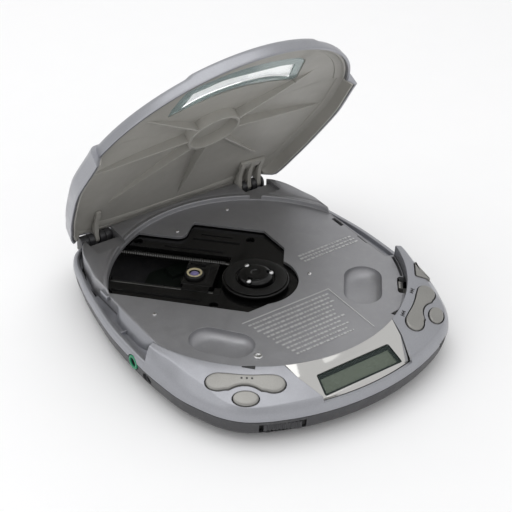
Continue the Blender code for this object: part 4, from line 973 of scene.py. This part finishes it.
# ---------------------------------------------------------------------- lid
def lid_height(x, y):
    angle = degrees(atan2(y, x))
    q = hypot(x, y) / lid_radius(angle)
    band = smooth((30.5 - abs(x)) / 3.0) * smooth((-y - 24.0) / 5.0)
    return LID_TOP - LID_SAG * q * q + 0.8 * band


def lid_edge(angle):
    a = folded(angle)
    if a < LID_STEP:
        return 17.7
    return 14.4 + 4.9 * smooth((a - 47.5) / 7)


def lid_skin(rows, angles):
    rings = []
    for share, inset, rule in rows:
        rings.append(ring(angles, lambda a: lid_radius(a) * share - inset, rule))
    return loft(rings)


def window_frame(amount):
    points = []
    for k in range(25):
        x = -30.2 + 60.4 * k / 24
        points.append((x, -27.2 + 5.2 * (x / 30.2) ** 2))
    points += [(31.0, -23.8), (28.0, -39.4)]
    for k in range(25):
        x = 25.7 - 51.4 * k / 24
        points.append((x, -45.6 + 4.4 * (x / 25.7) ** 2))
    points += [(-28.0, -39.4), (-31.0, -23.8)]
    return grow([(x + WINDOW_X, y) for x, y in points], amount)


def window_light(amount):
    """The clear part inside the tinted frame."""
    points = []
    for k in range(21):
        x = -25.8 + 51.6 * k / 20
        points.append((x, -30.9 + 5.6 * (x / 25.8) ** 2))
    for k in range(21):
        x = 24.0 - 48.0 * k / 20
        points.append((x, -39.6 + 3.6 * (x / 24.0) ** 2))
    return grow([(x + WINDOW_X + 0.6, y) for x, y in points], amount)


def lid():
    angles = columns(LID_STEP)

    def top(drop):
        return lambda a, x, y: lid_height(x, y) - drop

    def edge(lift):
        return lambda a, x, y: lid_edge(a) + lift

    shares = [0.004, 0.15, 0.3, 0.36, 0.42, 0.48, 0.54, 0.6, 0.66, 0.72, 0.78, 0.84, 0.885, 0.91]
    outside = [(s, 0, top(0.12)) for s in shares]
    outside += [(0.93, 0, top(0.18)), (0.948, 0, top(0.25)), (0.963, 0, top(0.52)),
                (0.975, 0, top(0.9)), (0.984, 0, top(1.65)), (0.99, 0, top(2.3)),
                (1.0, 0.55, top(2.8)), (1.0, 0.1, edge(1.2)), (1.0, 0, edge(0.5)),
                (1.0, 0.05, edge(0.2)), (1.0, 0.25, edge(0.03)), (1.0, 0.5, edge(0))]
    inside = [(1.0, 1.0, edge(0)), (1.0, 1.25, edge(0.15)), (1.0, 1.5, edge(1.0)),
              (1.0, 1.9, top(3.0)), (0.93, 0.6, top(1.4))]
    inside += [(s, 0, top(1.2)) for s in shares[10:0:-3]] + [(0.004, 0, top(1.2))]
    notches = []
    for side in (-1, 1):
        x0, x1 = sorted((side * 33.0, side * 48.6))
        notches.append(("DIFFERENCE", box(x0, x1, 61.0, 75, 10, 19.0)))
    notches.append(("DIFFERENCE", prism(window_light(0.3), 15, 35)))
    piece("lid_cover", lid_skin(outside + inside, angles), SILVER, "lid",
          ["lid_shell"], notches, turned_open=True)

    def skirt(lift):
        return lambda a, x, y: (19.0 if in_front(a, LID_STEP)
                                else lid_edge(a) + lift - 0.3 * smooth((folded(a) - 47.5) / 7))

    over = [(0.004, 0, top(1.5)), (0.3, 0, top(1.5)), (0.5, 0, top(1.5)), (0.7, 0, top(1.5)),
            (0.93, 1.0, top(1.85)), (1.0, 2.5, top(3.2)), (1.0, 1.65, skirt(0.5))]
    under = [(1.0, 1.8, skirt(0.35)), (1.0, 2.4, skirt(0.35)), (1.0, 2.6, skirt(0.5)),
             (1.0, 3.0, top(3.9)), (1.0, 3.5, top(3.4)), (0.94, 2.0, top(2.95)),
             (0.92, 1.0, top(2.55))]
    under += [(s, 0, top(2.4)) for s in (0.84, 0.76, 0.7, 0.62, 0.54, 0.46, 0.38, 0.28, 0.15, 0.004)]
    steps = [("UNION", torus(softened([(10.9, 19.9, 0.3), (12.2, 19.9, 0.3), (12.3, 24.9, 0),
                                       (10.8, 24.9, 0)], 4, closed=True), count=72, start=3.3))]
    for a in RIB_ANGLES:
        c, s = cos(radians(a)), sin(radians(a))
        reach = 49.0 if a > 180 else 60.0
        far = lid_height(reach * c, reach * s)
        rings = []
        for half, cut in ((-0.5, 0.22), (-0.32, 0.0), (0.32, 0.0), (0.5, 0.22)):
            rings.append([(r * c - half * s, r * s + half * c, z) for r, z in
                          ((11.9, 20.1 + cut), (reach - 7, far - 2.95 + cut / 2),
                           (reach, far - 2.3), (reach - 2, far - 1.95), (11.9, 24.9))])
        steps.append(("UNION", loft(rings)))
    for side in (-1, 1):
        x0, x1 = sorted((side * 33.0, side * 48.6))
        steps.append(("DIFFERENCE", box(x0, x1, 57.0, 75, 10, 19.0)))
    steps.append(("DIFFERENCE", prism(window_frame(0), 15, 35)))
    piece("lid_inner", lid_skin(over + under, angles), LINER, "lid", ["lid_liner"],
          steps, turned_open=True)
    plate = prism(window_frame(-0.3), lambda x, y: lid_height(x, y) - 2.1,
                  lambda x, y: lid_height(x, y) - 1.35)
    piece("window_frame", plate, TEAL, "lid", ["lid_window"],
          [("DIFFERENCE", prism(window_light(0.2), 15, 35))], turned_open=True)
    piece("window_light", prism(window_light(0.1), lambda x, y: lid_height(x, y) - 1.9,
                                lambda x, y: lid_height(x, y) - 0.15), GLASS, "lid",
          turned_open=True)
    for side, name in ((-1, "left"), (1, "right")):
        hinge_arm(name, side)


def hinge_arm(name, side):
    knuckles = (34.2, 39.4, 44.8) if side > 0 else (39.4,)
    x0, x1 = sorted((side * knuckles[0], side * (knuckles[-1] + 2.0)))
    foot = prism([(x0, 50.0), (x1, 50.0), (x1, 55.0), (x0, 55.0)],
                 lambda x, y: lid_height(x, y) - 3.8, lambda x, y: lid_height(x, y) - 2.5)
    steps = []
    for x in knuckles:
        profile = circle(2.1, (HINGE_Y, HINGE_Z), 28, -150, 60)
        profile += [(HINGE_Y - 1.6, 19.4), (58.5, 20.4), (52.0, 21.0), (50.2, 20.9), (52.0, 20.0),
                    (55.2, 19.7), (57.8, 18.9), (60.6, 17.4), (62.4, 16.3)]
        a, b = sorted((side * x, side * (x + 2.0)))
        steps.append(("UNION", side_prism(profile, a, b)))
    steps.append(("DIFFERENCE", rod((side * 30, HINGE_Y, HINGE_Z), (side * 50, HINGE_Y, HINGE_Z),
                                    1.2, 20)))
    piece("hinge_prongs_" + name, foot, LINER, "lid", ["lid_hinge_" + name], steps,
          turned_open=True, bevel=0.2)


# -------------------------------------------------------------------- studio
def studio():
    size, rest = 3000, -0.8
    floor = link("floor", raw_mesh("floor", ([(-size, -size, rest), (size, -size, rest),
                                              (size, size, rest), (-size, size, rest)],
                                             [(0, 1, 2, 3)])))
    floor.data.materials.append(surface("floor_look", (0.93, 0.93, 0.935), 0.6, 0.0, 0.003, 0.0,
                                        0.001, edge=0, rough_spread=0.02))
    world = bpy.data.worlds.new("studio")
    bpy.context.scene.world = world
    world.use_nodes = True
    nodes, links = world.node_tree.nodes, world.node_tree.links
    where = nodes.new("ShaderNodeTexCoord")
    split = nodes.new("ShaderNodeSeparateXYZ")
    ramp = nodes.new("ShaderNodeMapRange")
    ramp.inputs["From Min"].default_value = 0.0
    ramp.inputs["From Max"].default_value = 0.7
    ramp.inputs["To Min"].default_value = 0.74
    ramp.inputs["To Max"].default_value = 0.80
    links.new(where.outputs["Generated"], split.inputs[0])
    links.new(split.outputs["Z"], ramp.inputs["Value"])
    links.new(ramp.outputs["Result"], nodes["Background"].inputs["Strength"])
    nodes["Background"].inputs["Color"].default_value = (1.0, 1.0, 1.0, 1.0)
    for name, place_at, size_m, power in (("overhead", (-0.10, 0.15, 0.80), 0.9, 2.4),
                                          ("left", (-0.80, -0.10, 0.45), 0.6, 0.6),
                                          ("front", (0.15, -0.95, 0.60), 0.6, 0.5)):
        data = bpy.data.lights.new(name, "AREA")
        data.shape = "SQUARE"
        data.size = size_m
        data.energy = power
        lamp = bpy.data.objects.new(name, data)
        bpy.context.collection.objects.link(lamp)
        lamp.location = place_at
        aim = Vector((0, 0, 0.02)) - Vector(place_at)
        lamp.rotation_euler = aim.to_track_quat("-Z", "Y").to_euler()
    bpy.context.scene.view_settings.view_transform = "Standard"


def camera():
    azimuth, elevation, roll = radians(-35.287), radians(34.716), 0.0221
    target = Vector((0.02118, 0.02993, 0.0037))
    back = Vector((sin(azimuth) * cos(elevation), -cos(azimuth) * cos(elevation), sin(elevation)))
    right = Vector((cos(azimuth), sin(azimuth), 0))
    up = back.cross(right)
    turned_right = right * cos(roll) + up * sin(roll)
    turned_up = up * cos(roll) - right * sin(roll)
    data = bpy.data.cameras.new("camera")
    data.lens = 95.27
    data.sensor_width = 36.0
    cam = bpy.data.objects.new("camera", data)
    bpy.context.collection.objects.link(cam)
    turn = Matrix((turned_right, turned_up, back)).transposed()
    cam.matrix_world = Matrix.Translation(target + back * 0.6089) @ turn.to_4x4()
    bpy.context.scene.camera = cam


dress_cad_nodes()
case_bottom()
case_top()
deck()
trough_parts()
display()
keys()
latch_and_slider()
hub()
mechanism()
lid()
camera()
studio()
bpy.context.view_layer.update()
